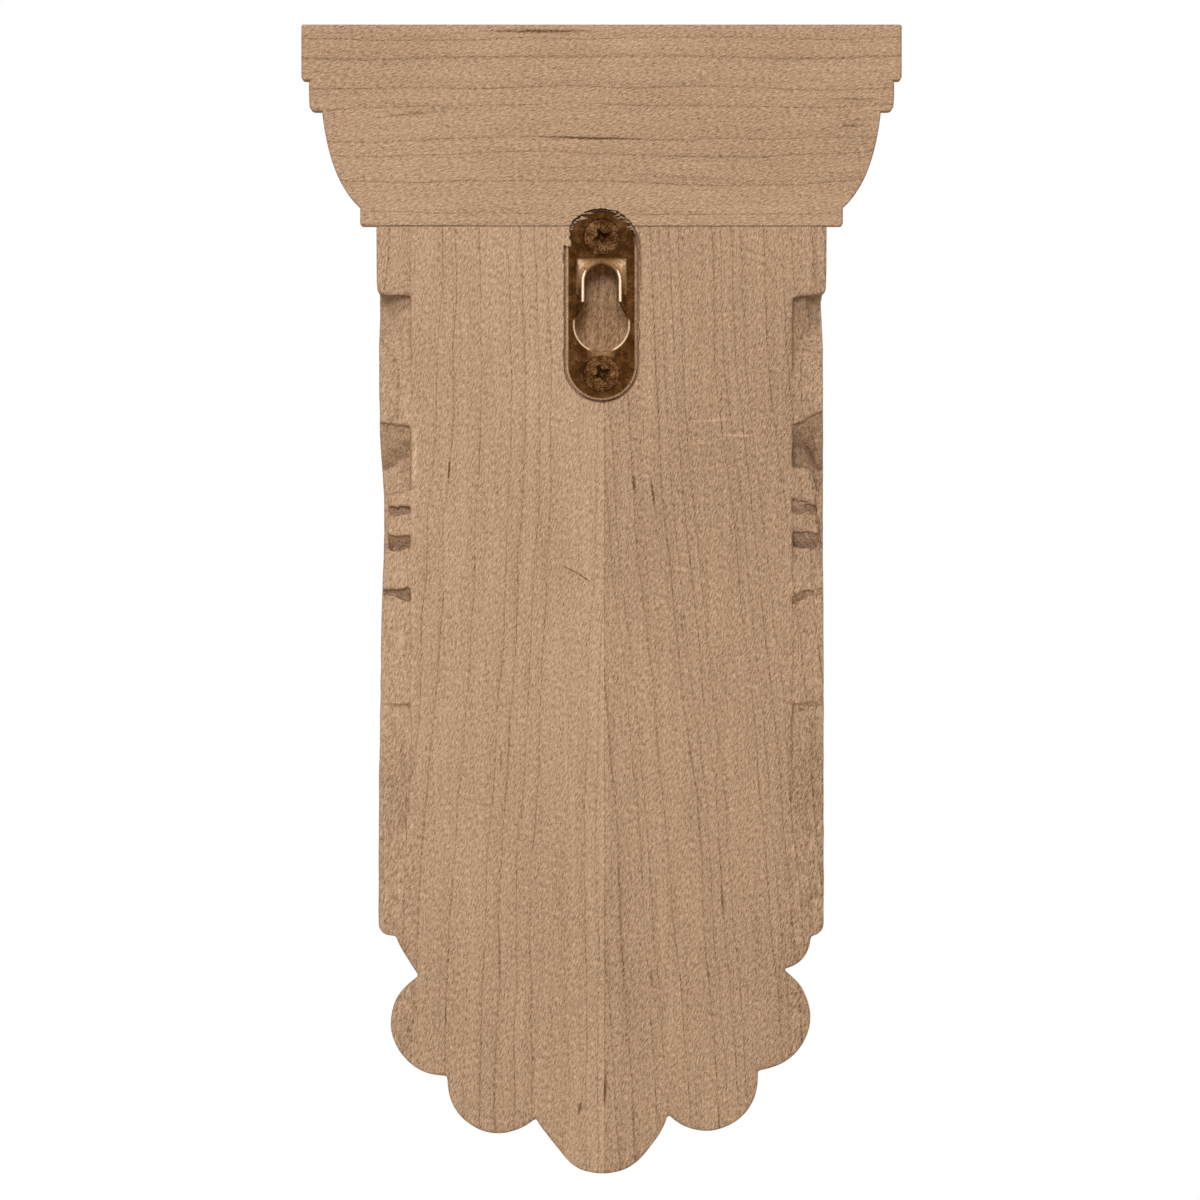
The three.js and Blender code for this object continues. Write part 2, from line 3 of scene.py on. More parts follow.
import bpy
import numpy as np
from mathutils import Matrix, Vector


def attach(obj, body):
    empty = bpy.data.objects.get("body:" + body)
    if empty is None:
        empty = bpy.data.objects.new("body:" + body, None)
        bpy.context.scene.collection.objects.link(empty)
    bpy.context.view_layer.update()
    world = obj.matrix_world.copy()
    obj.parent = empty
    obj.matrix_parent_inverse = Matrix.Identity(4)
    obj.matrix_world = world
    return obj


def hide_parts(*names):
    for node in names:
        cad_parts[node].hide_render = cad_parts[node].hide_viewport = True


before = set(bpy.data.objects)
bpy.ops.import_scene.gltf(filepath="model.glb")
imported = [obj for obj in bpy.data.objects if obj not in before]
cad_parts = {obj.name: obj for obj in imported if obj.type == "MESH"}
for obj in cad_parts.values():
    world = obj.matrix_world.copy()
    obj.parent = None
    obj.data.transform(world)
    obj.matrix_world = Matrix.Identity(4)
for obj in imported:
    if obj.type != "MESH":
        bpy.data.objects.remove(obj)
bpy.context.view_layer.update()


# The camera looks straight at the flat back of the corbel from far away, as it was
# photographed, with the cap just inside the top of the picture.
def put_in_scene(name, data):
    """An object of that name, at the origin of the scene."""
    made = bpy.data.objects.new(name, data)
    bpy.context.scene.collection.objects.link(made)
    return made


back_view = bpy.data.cameras.new("back_view")
back_view.lens = 1600
back_view.sensor_width = 36
back_view.dof.use_dof = False
back_view.clip_end = 60
viewer = put_in_scene("back_view", back_view)
viewer.location = (0.0003, 10.6065, -0.00015)
viewer.rotation_euler = (math.radians(90), 0, math.radians(180))
bpy.context.scene.camera = viewer
bpy.context.scene.view_settings.view_transform = "Standard"


# Carved body: a maple blank glued up from two staves, carved with gouges and left bare.
# It is shaped here as a solid field on a fine grid, in millimetres, cut in the order of the
# real work: outline first, then the leaf on the front, the sides, and the mortise behind.
MM = 0.001
half_height = 114.3
joint_z = 74.3
tip_z = -half_height
body_height = joint_z - tip_z
body_half = 44.8
carved_half = 44.3
core_half = 38.0
body_depth = 42.0
band_height = 13.9
arris = 0.5

# Lobes of the foot: across, up and radius, as shares of the carved half width
foot_lobes = [
    (0, 0.3, 0.3),
    (-0.47, 0.424, 0.23),
    (-0.698, 0.707, 0.239),
    (-0.801, 1.056, 0.135),
    (0.46, 0.413, 0.23),
    (0.711, 0.679, 0.235),
    (0.72, 1.059, 0.205),
]
shoulder_share = 1.072
corner_radius = 2.4

# Depth of the front under the leaf, by share of the height down from the joint
ground_shares = [
    (0, 0.86), (0.074, 0.86), (0.1, 0.9), (0.142, 0.93), (0.184, 0.91), (0.226, 0.84),
    (0.268, 0.73), (0.31, 0.62), (0.37, 0.5), (0.447, 0.39), (0.52, 0.32), (0.61, 0.27),
    (0.69, 0.245), (0.755, 0.25), (0.82, 0.265), (0.88, 0.265), (0.93, 0.235),
    (0.97, 0.19), (1, 0.15),
]

volute_radius = 19.3
volute_down = band_height + volute_radius
spiral_turns = 1.9
groove_half, groove_depth = 1.1, 2.0


def catmull(points, steps=12):
    """A smooth curve through the points: a uniform Catmull-Rom spline."""
    p = np.array(points, float)
    line = []
    for i in range(len(p) - 1):
        a, b, c, d = p[max(i - 1, 0)], p[i], p[i + 1], p[min(i + 2, len(p) - 1)]
        for t in np.linspace(0, 1, steps, endpoint=False):
            v0, v1 = (c - a) / 2, (d - b) / 2
            line.append((2 * b - 2 * c + v0 + v1) * t**3 + (-3 * b + 3 * c - 2 * v0 - v1) * t**2
                        + v0 * t + b)
    line.append(p[-1])
    return np.array(line)


ground_line = catmull(ground_shares)


def ground_depth(down):
    share = np.clip(down / body_height, 0, 1)
    return body_depth * np.interp(share, ground_line[:, 0], ground_line[:, 1])


def polygon_distance(u, v, corners):
    """Distance from a closed outline, negative inside it."""
    corners = np.array(corners, float)
    nearest = np.full(u.shape, 1e9)
    inside = np.zeros(u.shape, bool)
    for (ax, ay), (bx, by) in zip(corners, np.roll(corners, -1, axis=0)):
        ex, ey = bx - ax, by - ay
        t = np.clip(((u - ax) * ex + (v - ay) * ey) / (ex * ex + ey * ey + 1e-12), 0, 1)
        nearest = np.minimum(nearest, (u - ax - t * ex) ** 2 + (v - ay - t * ey) ** 2)
        if ay != by:
            crosses = ((ay > v) != (by > v)) & (u < ax + (v - ay) / ey * ex)
            inside ^= crosses
    return np.where(inside, -1, 1) * np.sqrt(nearest)


def line_distance(u, v, points):
    """Distance from an open line, and how far along it the nearest place is, 0 to 1."""
    nearest = np.full(u.shape, 1e9)
    share = np.zeros(u.shape)
    count = len(points) - 1
    for k in range(count):
        (ax, ay), (bx, by) = points[k], points[k + 1]
        ex, ey = bx - ax, by - ay
        t = np.clip(((u - ax) * ex + (v - ay) * ey) / (ex * ex + ey * ey), 0, 1)
        off = (u - ax - t * ex) ** 2 + (v - ay - t * ey) ** 2
        closer = off < nearest
        nearest = np.where(closer, off, nearest)
        share = np.where(closer, (k + t) / count, share)
    return np.sqrt(nearest), share


def rounded_max(a, b, radius):
    return 0.5 * (a + b + np.sqrt((a - b) ** 2 + radius**2))


def stadium_distance(u, v, width, low, high):
    r = width / 2
    return np.hypot(u, v - np.clip(v, low + r, high - r)) - r


def bezier(a, b, c, steps=14):
    t = np.linspace(0, 1, steps + 1)[:, None]
    return (1 - t) ** 2 * np.array(a) + 2 * t * (1 - t) * np.array(b) + t * t * np.array(c)


# The leaf: every finger is a gouged strip from beside the midrib to a round tip. Places
# down are shares of the body's height, places across and radii of the carved half width,
# and rises of the body's depth.
foot_roots_down = 0.595
midrib_top, midrib_foot, midrib_length, midrib_rise = 0.07, 0.93, 0.86, 0.105
midrib_half, midrib_foot_half = 0.075, 0.02
gouge_stroke, strokes_per_mm = 0.0022, 2.1
eye_depth = 0.02
spray_spacing = 0.13
first_spray = 0.08
spray_count = 4
finger_tips = [(0.711, 0.082), (0.871, 0.127), (0.88, 0.186), (0.655, 0.225)]
eyes = [(0.62, 0.045, 0.052), (0.54, 0.029, 0.034)]


def leaf_fingers():
    """Each finger's line, its radius and its rise at root and tip, and its hollow."""
    fingers = []
    for across, up, radius in foot_lobes:
        tip_down = body_height - up * carved_half
        root_down = body_height * (foot_roots_down + 0.047 * (1 - abs(across)))
        x = across * carved_half
        bend = (x * 0.42, root_down + (tip_down - root_down) * 0.55)
        line = bezier((x * 0.05, root_down), bend, (x, tip_down))
        fingers.append((line, 0.059, radius, 0.038, 0.12, 0.048))
    for side in (-1, 1):
        for k in range(spray_count):
            start = first_spray + k * spray_spacing
            for i, (across, fall) in enumerate(finger_tips):
                t = i / (len(finger_tips) - 1)
                root_down = start + 0.027 * t
                bend = (0.08 + across * (0.5 - 0.27 * t), root_down + fall * (0.16 + 0.4 * t))
                places = [(0.045, root_down), bend, (across, start + fall)]
                line = bezier(*[(side * x * carved_half, d * body_height) for x, d in places])
                fingers.append((line, 0.036, 0.115, 0.024, 0.086 + 0.024 * t, 0.038))
    return fingers


def leaf_height(across, down):
    """How high the leaf stands over the ground."""
    best = np.zeros(across.shape)
    for line, root_radius, tip_radius, root_rise, tip_rise, hollow in leaf_fingers():
        reach = tip_radius * carved_half + 1
        near = (across > line[:, 0].min() - reach) & (across < line[:, 0].max() + reach)
        near &= (down > line[:, 1].min() - reach) & (down < line[:, 1].max() + reach)
        x, d = across[near], down[near]
        off = np.full(x.shape, 1.0)
        share = np.zeros(x.shape)
        for k in range(1, len(line)):
            a, b = line[k - 1], line[k]
            e = b - a
            t = np.clip(((x - a[0]) * e[0] + (d - a[1]) * e[1]) / (e @ e), 0, 1)
            reached = (k - 1 + t) / (len(line) - 1)
            radius = (root_radius + (tip_radius - root_radius) * reached**0.7) * carved_half
            away = np.hypot(x - a[0] - t * e[0], d - a[1] - t * e[1]) / radius
            closer = away < off
            off = np.where(closer, away, off)
            share = np.where(closer, reached, share)
        edge = np.sqrt(1 - off**4)
        gouge = hollow * np.clip(1 - (off / 0.7) ** 2, 0, 1) * np.sqrt(share)
        strokes = np.cos(share * np.hypot(*(line[-1] - line[0])) * strokes_per_mm)
        strokes = gouge_stroke * strokes * share * (off < 0.7)
        height = (root_rise + (tip_rise - root_rise) * share**1.2) * edge - gouge + strokes
        best[near] = np.maximum(best[near], np.where(off < 1, height * body_depth, 0))
    share = down / body_height
    t = np.clip((share - midrib_top) / midrib_length, 0, 1)
    half = midrib_half + (midrib_foot_half - midrib_half) * t * t
    off = np.abs(across) / (carved_half * half)
    step = np.clip((share - 0.06) / 0.04, 0, 1)
    round_top = np.sqrt(np.clip(1 - off**2, 0, 1))
    midrib = midrib_rise * body_depth * step * step * (3 - 2 * step) * round_top
    best = np.maximum(best, np.where(share < midrib_foot, midrib, 0))
    drilled = np.zeros(across.shape)
    for k in range(1, spray_count):
        for x, fall, radius in eyes:
            down_at = (first_spray + k * spray_spacing + fall) * body_height
            off = np.hypot(np.abs(across) - x * carved_half, down - down_at) / (radius * carved_half)
            drilled = np.maximum(drilled, np.sqrt(np.clip(1 - off**2, 0, 1)))
    return best * (1 - drilled) - body_depth * eye_depth * drilled


def soft_min(a, b, radius):
    return 0.5 * (a + b - np.sqrt((a - b) ** 2 + radius**2))


# How far each side of the trunk is set in below the band, by height, in millimetres
left_set_in = [(-120, 0), (-35, 0), (-25, 0.2), (-12, 0.4), (0, 0.6), (8, 1.0), (20, 1.0),
               (25, 0.7), (32, 0.2), (50, 0), (56, 0.2), (60, 0.2)]
right_set_in = [(-120, 0.1), (-10, 0.1), (8, 0.2), (50, 0.2), (59, 0.6), (60.4, 0.4)]


# Lobes that aren't quite round have a flank cut straight, from one point to another
flat_flanks = [(0, (-13.2, -104.4), (-7.85, -111.7)), (0, (6.2, -112.5), (12.3, -104.9)),
               (6, (36.5, -75.1), (41.3, -67.4))]


def outline_distance(x, z):
    """The body seen from the front or back: straight sides above, round lobes below."""
    shoulder = tip_z + shoulder_share * carved_half
    r = corner_radius
    set_in = np.where(x > 0, np.interp(z, *zip(*left_set_in)), np.interp(z, *zip(*right_set_in)))
    dx = np.abs(x) + set_in - (carved_half - r)
    dz = (shoulder + r) - z
    trunk = np.hypot(np.maximum(dx, 0), np.maximum(dz, 0)) + np.minimum(np.maximum(dx, dz), 0) - r
    left = [lobe for lobe in foot_lobes if lobe[0] < 0][::-1]
    right = [lobe for lobe in foot_lobes if lobe[0] > 0]
    in_turn = left + [foot_lobes[0]] + right
    ring = [(a * carved_half, tip_z + u * carved_half) for a, u, _ in in_turn]
    ring += [(ring[-1][0], shoulder + 3 * r), (ring[0][0], shoulder + 3 * r)]
    shape = soft_min(trunk, polygon_distance(x, z, ring), 0.6)
    for number, (across, up, radius) in enumerate(foot_lobes):
        lobe = np.hypot(x - across * carved_half, z - tip_z - up * carved_half)
        lobe = lobe - radius * carved_half
        for cut_lobe, (ax, az), (bx, bz) in flat_flanks:
            if cut_lobe == number:
                flank = (bz - az) * (x - ax) - (bx - ax) * (z - az)
                lobe = rounded_max(lobe, flank / math.hypot(bx - ax, bz - az), 0.8)
        shape = soft_min(shape, lobe, 0.6)
    return shape


def z_at(share):
    return joint_z - share * body_height


def quadratic(a, b, c, steps=8):
    return [tuple(p) for p in bezier(a, b, c, steps)]


# Notches below the volute: top and bottom at the back, reach forward and the point's height
side_notches = [
    (0.293, 0.302, 0.3, 0.27),
    (0.324, 0.341, 0.4, 0.3),
    (0.385, 0.398, 0.36, 0.391),
]


def side_hollows(depth, z):
    """The relief's back edge at each side, as the side sees it: negative where it is cut."""
    centre_z = joint_z - volute_down
    start = math.pi * 0.52
    corner = [(-3, joint_z - band_height)]
    for k in range(15):
        angle = start * (1 - k / 14)
        forward = max(0.3, volute_radius * (1 - math.cos(angle)))
        corner.append((forward, centre_z + volute_radius * math.sin(angle)))
    corner.append((-3, centre_z))
    cut = polygon_distance(depth, z, corner)

    gap = [(-3, centre_z + volute_radius * math.sin(-0.36))]
    for k in range(15):
        angle = -0.36 + (k / 14) * (-1.65 + 0.36)
        gap.append((volute_radius * (1 - math.cos(angle)),
                    centre_z + volute_radius * math.sin(angle)))
    lip = centre_z - volute_radius
    gap += quadratic(gap[-1], (volute_radius * 0.5, lip - 1.5), (0.4, lip + 0.3))[1:]
    gap.append((-3, lip + 0.3))
    cut = np.minimum(cut, polygon_distance(depth, z, gap))

    for top, bottom, reach, point in side_notches:
        eye = (reach * body_depth, z_at(point))
        upper = quadratic((0, z_at(top)), (eye[0] * 0.75, z_at(top + 0.002)), eye)
        lower = quadratic(eye, (eye[0] * 0.7, z_at(bottom + 0.006)), (0, z_at(bottom)))
        notch = [(-3, z_at(top))] + upper + lower[1:] + [(-3, z_at(bottom))]
        cut = np.minimum(cut, polygon_distance(depth, z, notch))

    return cut


def spiral_line():
    """Centre line of the groove on each side: a spiral, then down the front edge."""
    line = []
    for k in range(81):
        t = k / 80
        angle = -math.pi * 0.62 - (1 - t) * spiral_turns * 2 * math.pi
        radius = volute_radius * (0.2 + 0.63 * t)
        line.append((volute_radius - radius * math.cos(angle),
                     joint_z - volute_down + radius * math.sin(angle)))
    for share in np.arange(0.31, 0.7, 0.015):
        down = share * body_height
        line.append((float(ground_depth(down)) - body_depth * 0.12, joint_z - down))
    return line


def ripple(seed, sizes, *axes):
    """Smooth random swings between -1 and 1, with the given size of swing along each axis."""
    values = np.random.default_rng(seed).uniform(-1, 1, [
        int((axis[-1] - axis[0]) / size) + 3 for axis, size in zip(axes, sizes)])
    for n, (axis, size) in enumerate(zip(axes, sizes)):
        steps = (axis - axis[0]) / size
        first = np.floor(steps).astype(int)
        share = steps - first
        share = share * share * (3 - 2 * share)
        share = share.reshape([-1 if n == k else 1 for k in range(len(axes))])
        values = np.take(values, first, n) * (1 - share) + np.take(values, first + 1, n) * share
    return values


def looked_up(plane, rows, columns):
    """Values of a plane of samples at places between its rows and columns."""
    rows = np.clip(rows, 0, plane.shape[0] - 1.001)
    columns = np.clip(columns, 0, plane.shape[1] - 1.001)
    i, j = rows.astype(int), columns.astype(int)
    s, t = rows - i, columns - j
    low = plane[i, j] * (1 - t) + plane[i, j + 1] * t
    return low * (1 - s) + (plane[i + 1, j] * (1 - t) + plane[i + 1, j + 1] * t) * s


# The side cuts run up or down towards the outside, differently at the two sides: height,
# rise towards the outside, and lift, all in millimetres
left_slants = [(-30, 0, 0), (-20, 0, 0), (-2, 0, 0.3), (4, 0, 0.3), (8, 0, 0), (15, 0, -0.6),
               (19, 0, -0.7), (24, -0.1, 0.2), (32, 0.1, 0.2), (45, 0, 0), (70, 0, 0)]
right_slants = [(-30, 0, 0), (-20, 0.12, 0), (-2, 0.2, -0.8), (3, 0.2, -0.8), (8, 0.05, 0),
                (18, -0.15, 0.3), (23, -0.45, 2.2), (27, -0.2, 1.0), (32, 0.62, 0.3),
                (40, 0.5, 0), (50, 0.1, 0), (70, 0, 0)]

# How far the strips beside the flat back lie below it: height, depth, and slope outwards
strip_levels = [(-120, 0, 0), (-45, 0, 0), (-38, 0.5, 0.02), (-23, 1.25, -0.04), (-21.1, 1.35, -0.04),
                (-20.8, 0.55, 0.0), (-2, 0.75, 0.02), (0.6, 0.8, 0.02), (1.3, 0.1, 0.04), (6, 0.35, 0.2),
                (9.8, 0.7, 0.3), (11.5, 0.5, 0.16), (15, 0.45, 0.2), (17, 0.3, 0.12), (23, 0.2, 0.1),
                (26, 0, 0), (80, 0, 0)]

# How deep the cuts go at the flat back, and how much deeper they get outwards
cut_floors = [(-2, 4.6, 0.02), (2.2, 1.3, 0.02), (6, 1.3, 0.02), (9.2, 4.8, 0.02), (13.4, 1.5, 0.02),
              (14, 3.2, 0.03), (16, 3.2, 0.03), (19.4, 1.1, 0.03), (20.2, 6.0, 0.04), (25, 6.0, 0.04),
              (28, 5.0, 0.2), (45, 4.6, 0.2), (46, 1.6, 0.2), (60.4, 2.8, 0.2)]

# How wide the strips' lobes are; outside them a lower, plain margin runs on
left_widths = [(-21.2, 4.3), (0.8, 4.4), (1.5, 8.0), (8.6, 8.0), (9.4, 4.1), (13, 4.3),
               (19, 4.1), (24, 4.3), (26, 8)]
right_widths = [(-21.2, 1.2), (-19.5, 2.2), (-15, 3.4), (-1.3, 3.7), (-1.0, 6.6), (2.4, 6.4), (14.2, 5.1),
                (22.3, 4.2), (26.0, 3.0), (28, 3.0), (28.2, 8.0)]

# Heights between which the notches, the crescent above them and the sunk strips lie
notch_low, notch_high = -2, 20.5
crescent_low, crescent_high = 20.5, 40
strip_low, strip_high = -21.3, 26.5

# How ragged the cuts' edges are: height, seed and sizes of each kind of swing
torn_swings = [(0.4, 0, (2.5, 3.0, 3.5)), (0.22, 10, (1.0, 1.2, 1.3)), (0.2, 50, (0.6, 0.8, 0.7))]

def carve_side(field, x, y, z, side):
    """Cuts the hollows and the groove of one side into its part of the field."""
    rows = np.nonzero(side * x > core_half - 2.5)[0]
    rows = slice(rows[0], rows[-1] + 1)
    out = side * x[rows][:, None, None] - core_half
    depth = -y[None, :, None]
    slab = field[rows]
    seed = 5 + side
    height, rise, lift = np.array(left_slants if side > 0 else right_slants).T
    tilt = np.interp(z, height, rise) * np.clip(out, 0, 7) + np.interp(z, height, lift)
    torn = 0
    for share, number, swings in torn_swings:
        torn = torn + share * ripple(seed + number, swings, x[rows], y, z)
    torn = torn * np.clip(1.5 - depth / 6, 0.2, 1)
    if side < 0:
        step = np.interp(out, [0, 3.5, 4.7, 5.2, 6.5], [4.0, 3.6, 0.0, -0.2, 1.2])
        tilt = tilt + (step - tilt) * np.clip(np.minimum(z - 20.6, (33 - z) / 6), 0, 1)
    cut_z = z[None, None, :] - tilt + torn
    cut_y = y[None, :, None] + 0.3 * ripple(seed + 20, (1.4, 2.0, 1.6), x[rows], y, z)

    d2, z2 = np.meshgrid(-y, z, indexing="ij")
    hollow = looked_up(side_hollows(d2, z2), (cut_y - y[0]) / (y[1] - y[0]),
                       (cut_z - z[0]) / (z[1] - z[0]))
    widths = left_widths if side > 0 else right_widths
    margin = out - np.interp(z, *zip(*widths)) + torn * 0.8
    height, floor, fall = np.array(cut_floors).T
    floor = np.interp(z, height, floor) + np.interp(z, height, fall) * np.clip(out, 0, 8) ** 2
    if side < 0:
        floor = floor * (1 - 0.5 * np.clip((7 - z) / 3, 0, 1))
        lip_foot = np.minimum(-1.1 + 0.64 * out, 0.55 + 0.2 * out)
    else:
        lip_foot = -0.5 + 0.33 * out
    lip = np.maximum(hollow, lip_foot + 0.6 * torn - z)
    hollow = np.where((z > -2.5) & (z < 5), lip, hollow)
    on_side_face = np.maximum(np.maximum(hollow, 3.6 - depth), 5.0 - out)
    hollow = np.maximum(hollow, depth - floor + 0.8 * torn)
    crescent = (z > crescent_low) & (z < crescent_high) & (cut_z < 21)
    hollow = np.where(crescent, np.maximum(hollow, 21 - cut_z), hollow)
    notches = np.minimum(np.maximum(hollow, margin), on_side_face)
    hollow = np.where((z > notch_low) & (z < notch_high), notches, hollow)
    edge = out + 0.18 * ripple(seed + 30, (6.0, 1.6), y, z)[None]
    slab = rounded_max(slab, -rounded_max(hollow, -edge, 0.15), 0.2)

    height, level, slope = np.array(strip_levels).T
    cut_z = z[None, None, :] - tilt
    drop = np.interp(cut_z, height, level) + np.interp(cut_z, height, slope) * np.clip(out, 0, 8)
    within = np.clip(np.minimum(z - strip_low, strip_high - z) / 0.4, 0, 1)
    step = np.where(z < -1, 0.5 if side > 0 else -0.4, 0.9)
    drop = drop * np.where(z < 0, 1 if side > 0 else 0.75, 1)
    past_lobes = step * np.clip(margin / 0.3, 0, 1) + 0.12 * np.clip(margin, 0, 3) * (step > 0)
    drop = drop + past_lobes * within
    drop = drop + 0.08 * ripple(seed + 40, (1.2, 3.0), x[rows], z)[:, None, :]
    strip = np.maximum(depth - drop, -edge)
    slab = rounded_max(slab, -strip, 0.2)

    off, share = line_distance(d2, z2, spiral_line())
    width = 0.6 + 0.4 * np.clip(share * 1.4, 0, 1)
    width = groove_half * width * np.clip((1 - share) * 12, 0.3, 1)
    sunk = np.maximum(carved_half - core_half - out, 0) / groove_depth
    groove = (np.sqrt((off / width)[None] ** 2 + sunk**2) - 1) * width[None]
    field[rows] = rounded_max(slab, -groove, 0.3)


def body_field(x, y, z):
    """Negative inside the wood. x, y and z are the grid's coordinates in millimetres."""
    across, down = np.meshgrid(x, joint_z - z, indexing="ij")
    front = ground_depth(down) + leaf_height(across, down)
    steps_x, steps_z = np.gradient(front, x[1] - x[0])
    steep = np.sqrt(1 + np.minimum(steps_x**2 + steps_z**2, 9))
    depth = (-y[None, :, None]).astype(np.float32)
    field = ((depth - front[:, None, :]) / steep[:, None, :]).astype(np.float32)
    plan = outline_distance(across, joint_z - down) + 0.07 * ripple(3, (3.0, 3.0), x, z)
    field = rounded_max(field, plan[:, None, :], 0.5).astype(np.float32)
    for side in (-1, 1):
        carve_side(field, x, y, z, side)
    field = rounded_max(field, -depth, 0.25)

    foot = joint_z - band_height
    band = rounded_max(np.abs(x)[:, None, None] - body_half, foot - z[None, None, :], 1.0)
    band = rounded_max(band, depth - body_depth, arris)
    band = rounded_max(band, -depth, 0.35)
    field = np.minimum(field, band)

    mortise = stadium_distance(across, joint_z - down, mortise_width, mortise_low, mortise_high)
    ragged = 0.3 * ripple(14, (0.8, 0.8), x, z)
    left_over = np.minimum(across - uncut_across, joint_z - down - uncut_above) + ragged
    mortise = np.maximum(mortise + 0.25 * ragged, left_over)
    mortise = rounded_max(mortise[:, None, :], depth - mortise_depth, 0.2)
    field = np.maximum(field, -mortise)
    cavity = stadium_distance(across, joint_z - down, cavity_width, cavity_low, cavity_high)
    cavity = rounded_max(cavity[:, None, :], depth - mortise_depth - cavity_depth, 1.5)
    field = np.maximum(field, -cavity)
    for screw_z in screw_zs:
        hole = np.hypot(across, joint_z - down - screw_z)[:, None, :]
        cone = np.interp(-y, [0.7, 2.8, pilot_end], [3.8, pilot_radius, pilot_radius])[None, :, None]
        field = np.maximum(field, -np.maximum(hole - cone, depth - pilot_end))
    return np.maximum(field, z[None, None, :] - joint_z)


# The hanger's place, which the mortise in the body and the cap is cut for
plate_width = 14.2
plate_length = 37.8
plate_top = joint_z + 3
plate_low = plate_top - plate_length
plate_thickness = 1.6
plate_sunk = 0.3
mortise_width = plate_width + 0.8
mortise_low = plate_low - 0.4
mortise_high = plate_top + 0.5
mortise_depth = plate_sunk + plate_thickness
keyhole_z = plate_low + 15.1
slot_top = plate_top - 10.8
cavity_low = keyhole_z - 6.5
cavity_high = slot_top + 2
cavity_width, cavity_depth = 13.0, 9.0
screw_zs = [plate_top - 5.3, plate_low + 5.3]
pilot_radius, pilot_end = 1.6, 16.5
uncut_across, uncut_above = 6.2, 70.3


def untangled(field):
    """Fills corners where two bodies of a field would touch along an edge only."""
    for _ in range(6):
        inside = field < 0
        found = 0
        for axis in range(3):
            views = []
            for low_b in (slice(0, -1), slice(1, None)):
                for low_c in (slice(0, -1), slice(1, None)):
                    part = [slice(None)] * 3
                    part[(axis + 1) % 3], part[(axis + 2) % 3] = low_b, low_c
                    views.append(tuple(part))
            a, b, c, d = [inside[view] for view in views]
            for cross, fill in ((a & d & ~b & ~c, views[1]), (b & c & ~a & ~d, views[0])):
                found += int(cross.sum())
                field[fill][cross] = -0.01
        if not found:
            break
    return field


def skin_of(field, low, cell):
    """The surface where a field crosses zero: points in its own units, and quads facing out."""
    field = untangled(field)
    inside = field < 0
    cells = tuple(n - 1 for n in field.shape)
    count = np.zeros(cells, np.uint8)
    for i in (0, 1):
        for j in (0, 1):
            for k in (0, 1):
                count += inside[i:i + cells[0], j:j + cells[1], k:k + cells[2]]
    mixed = (count > 0) & (count < 8)
    number = np.full(cells, -1, np.int32)
    number[mixed] = np.arange(mixed.sum())
    total = int(mixed.sum())
    sums = np.zeros((total, 3))
    hits = np.zeros(total)
    quads = []
    for axis in range(3):
        b, c = (axis + 1) % 3, (axis + 2) % 3
        first = [slice(None)] * 3
        second = [slice(None)] * 3
        first[axis], second[axis] = slice(0, -1), slice(1, None)
        f0, f1 = field[tuple(first)], field[tuple(second)]
        crossing = np.argwhere((f0 < 0) != (f1 < 0))
        keep = (crossing[:, b] > 0) & (crossing[:, c] > 0)
        keep &= (crossing[:, b] < cells[b]) & (crossing[:, c] < cells[c])
        crossing = crossing[keep]
        a0 = f0[tuple(crossing.T)].astype(float)
        a1 = f1[tuple(crossing.T)].astype(float)
        place = crossing.astype(float)
        place[:, axis] += a0 / (a0 - a1)
        around = []
        for db, dc in ((-1, -1), (0, -1), (0, 0), (-1, 0)):
            cell_at = crossing.copy()
            cell_at[:, b] += db
            cell_at[:, c] += dc
            ids = number[tuple(cell_at.T)]
            around.append(ids)
            hits += np.bincount(ids, minlength=total)
            for n in range(3):
                sums[:, n] += np.bincount(ids, weights=place[:, n], minlength=total)
        quad = np.stack(around, axis=1)
        outward = a0 < 0
        quad[~outward] = quad[~outward][:, ::-1]
        quads.append(quad)
    points = sums / hits[:, None] * cell + np.array(low)
    return points, np.concatenate(quads)


def piece_from_field(name, field_of, low, high, cell):
    """The piece that a field is negative in, looked for between two corners, and its points."""
    axes = [np.arange(a, b + cell, cell) for a, b in zip(low, high)]
    points, faces = skin_of(field_of(*axes), low, cell)
    mesh = bpy.data.meshes.new(name)
    mesh.from_pydata((points * MM).tolist(), [], faces.tolist())
    mesh.validate()
    return put_in_scene(name, mesh), points


def baked(piece):
    """Replaces a piece's mesh by its evaluated one, and clears its modifiers."""
    bpy.context.view_layer.update()
    evaluated = piece.evaluated_get(bpy.context.evaluated_depsgraph_get())
    mesh = bpy.data.meshes.new_from_object(evaluated)
    piece.modifiers.clear()
    old = piece.data
    piece.data = mesh
    bpy.data.meshes.remove(old)
    mesh.name = piece.name
    return piece


def thinned(piece, triangles):
    modifier = piece.modifiers.new("thin", "DECIMATE")
    modifier.ratio = min(1.0, triangles / (2 * len(piece.data.polygons)))
    return baked(piece)


room = 1.1
leaf_room = 3.0
carved_body, _ = piece_from_field(
    "carved_maple_body", body_field, (-body_half - room, -body_depth - leaf_room - room, tip_z - room),
    (body_half + room, room, joint_z + room), 0.32)
body_triangles = 190000
thinned(carved_body, body_triangles)


def linear(*rgb):
    """Paint colours, 0 to 255, as the shader's linear values."""
    return [((c / 255 + 0.055) / 1.055) ** 2.4 if c > 10 else c / 255 / 12.92 for c in rgb] + [1]


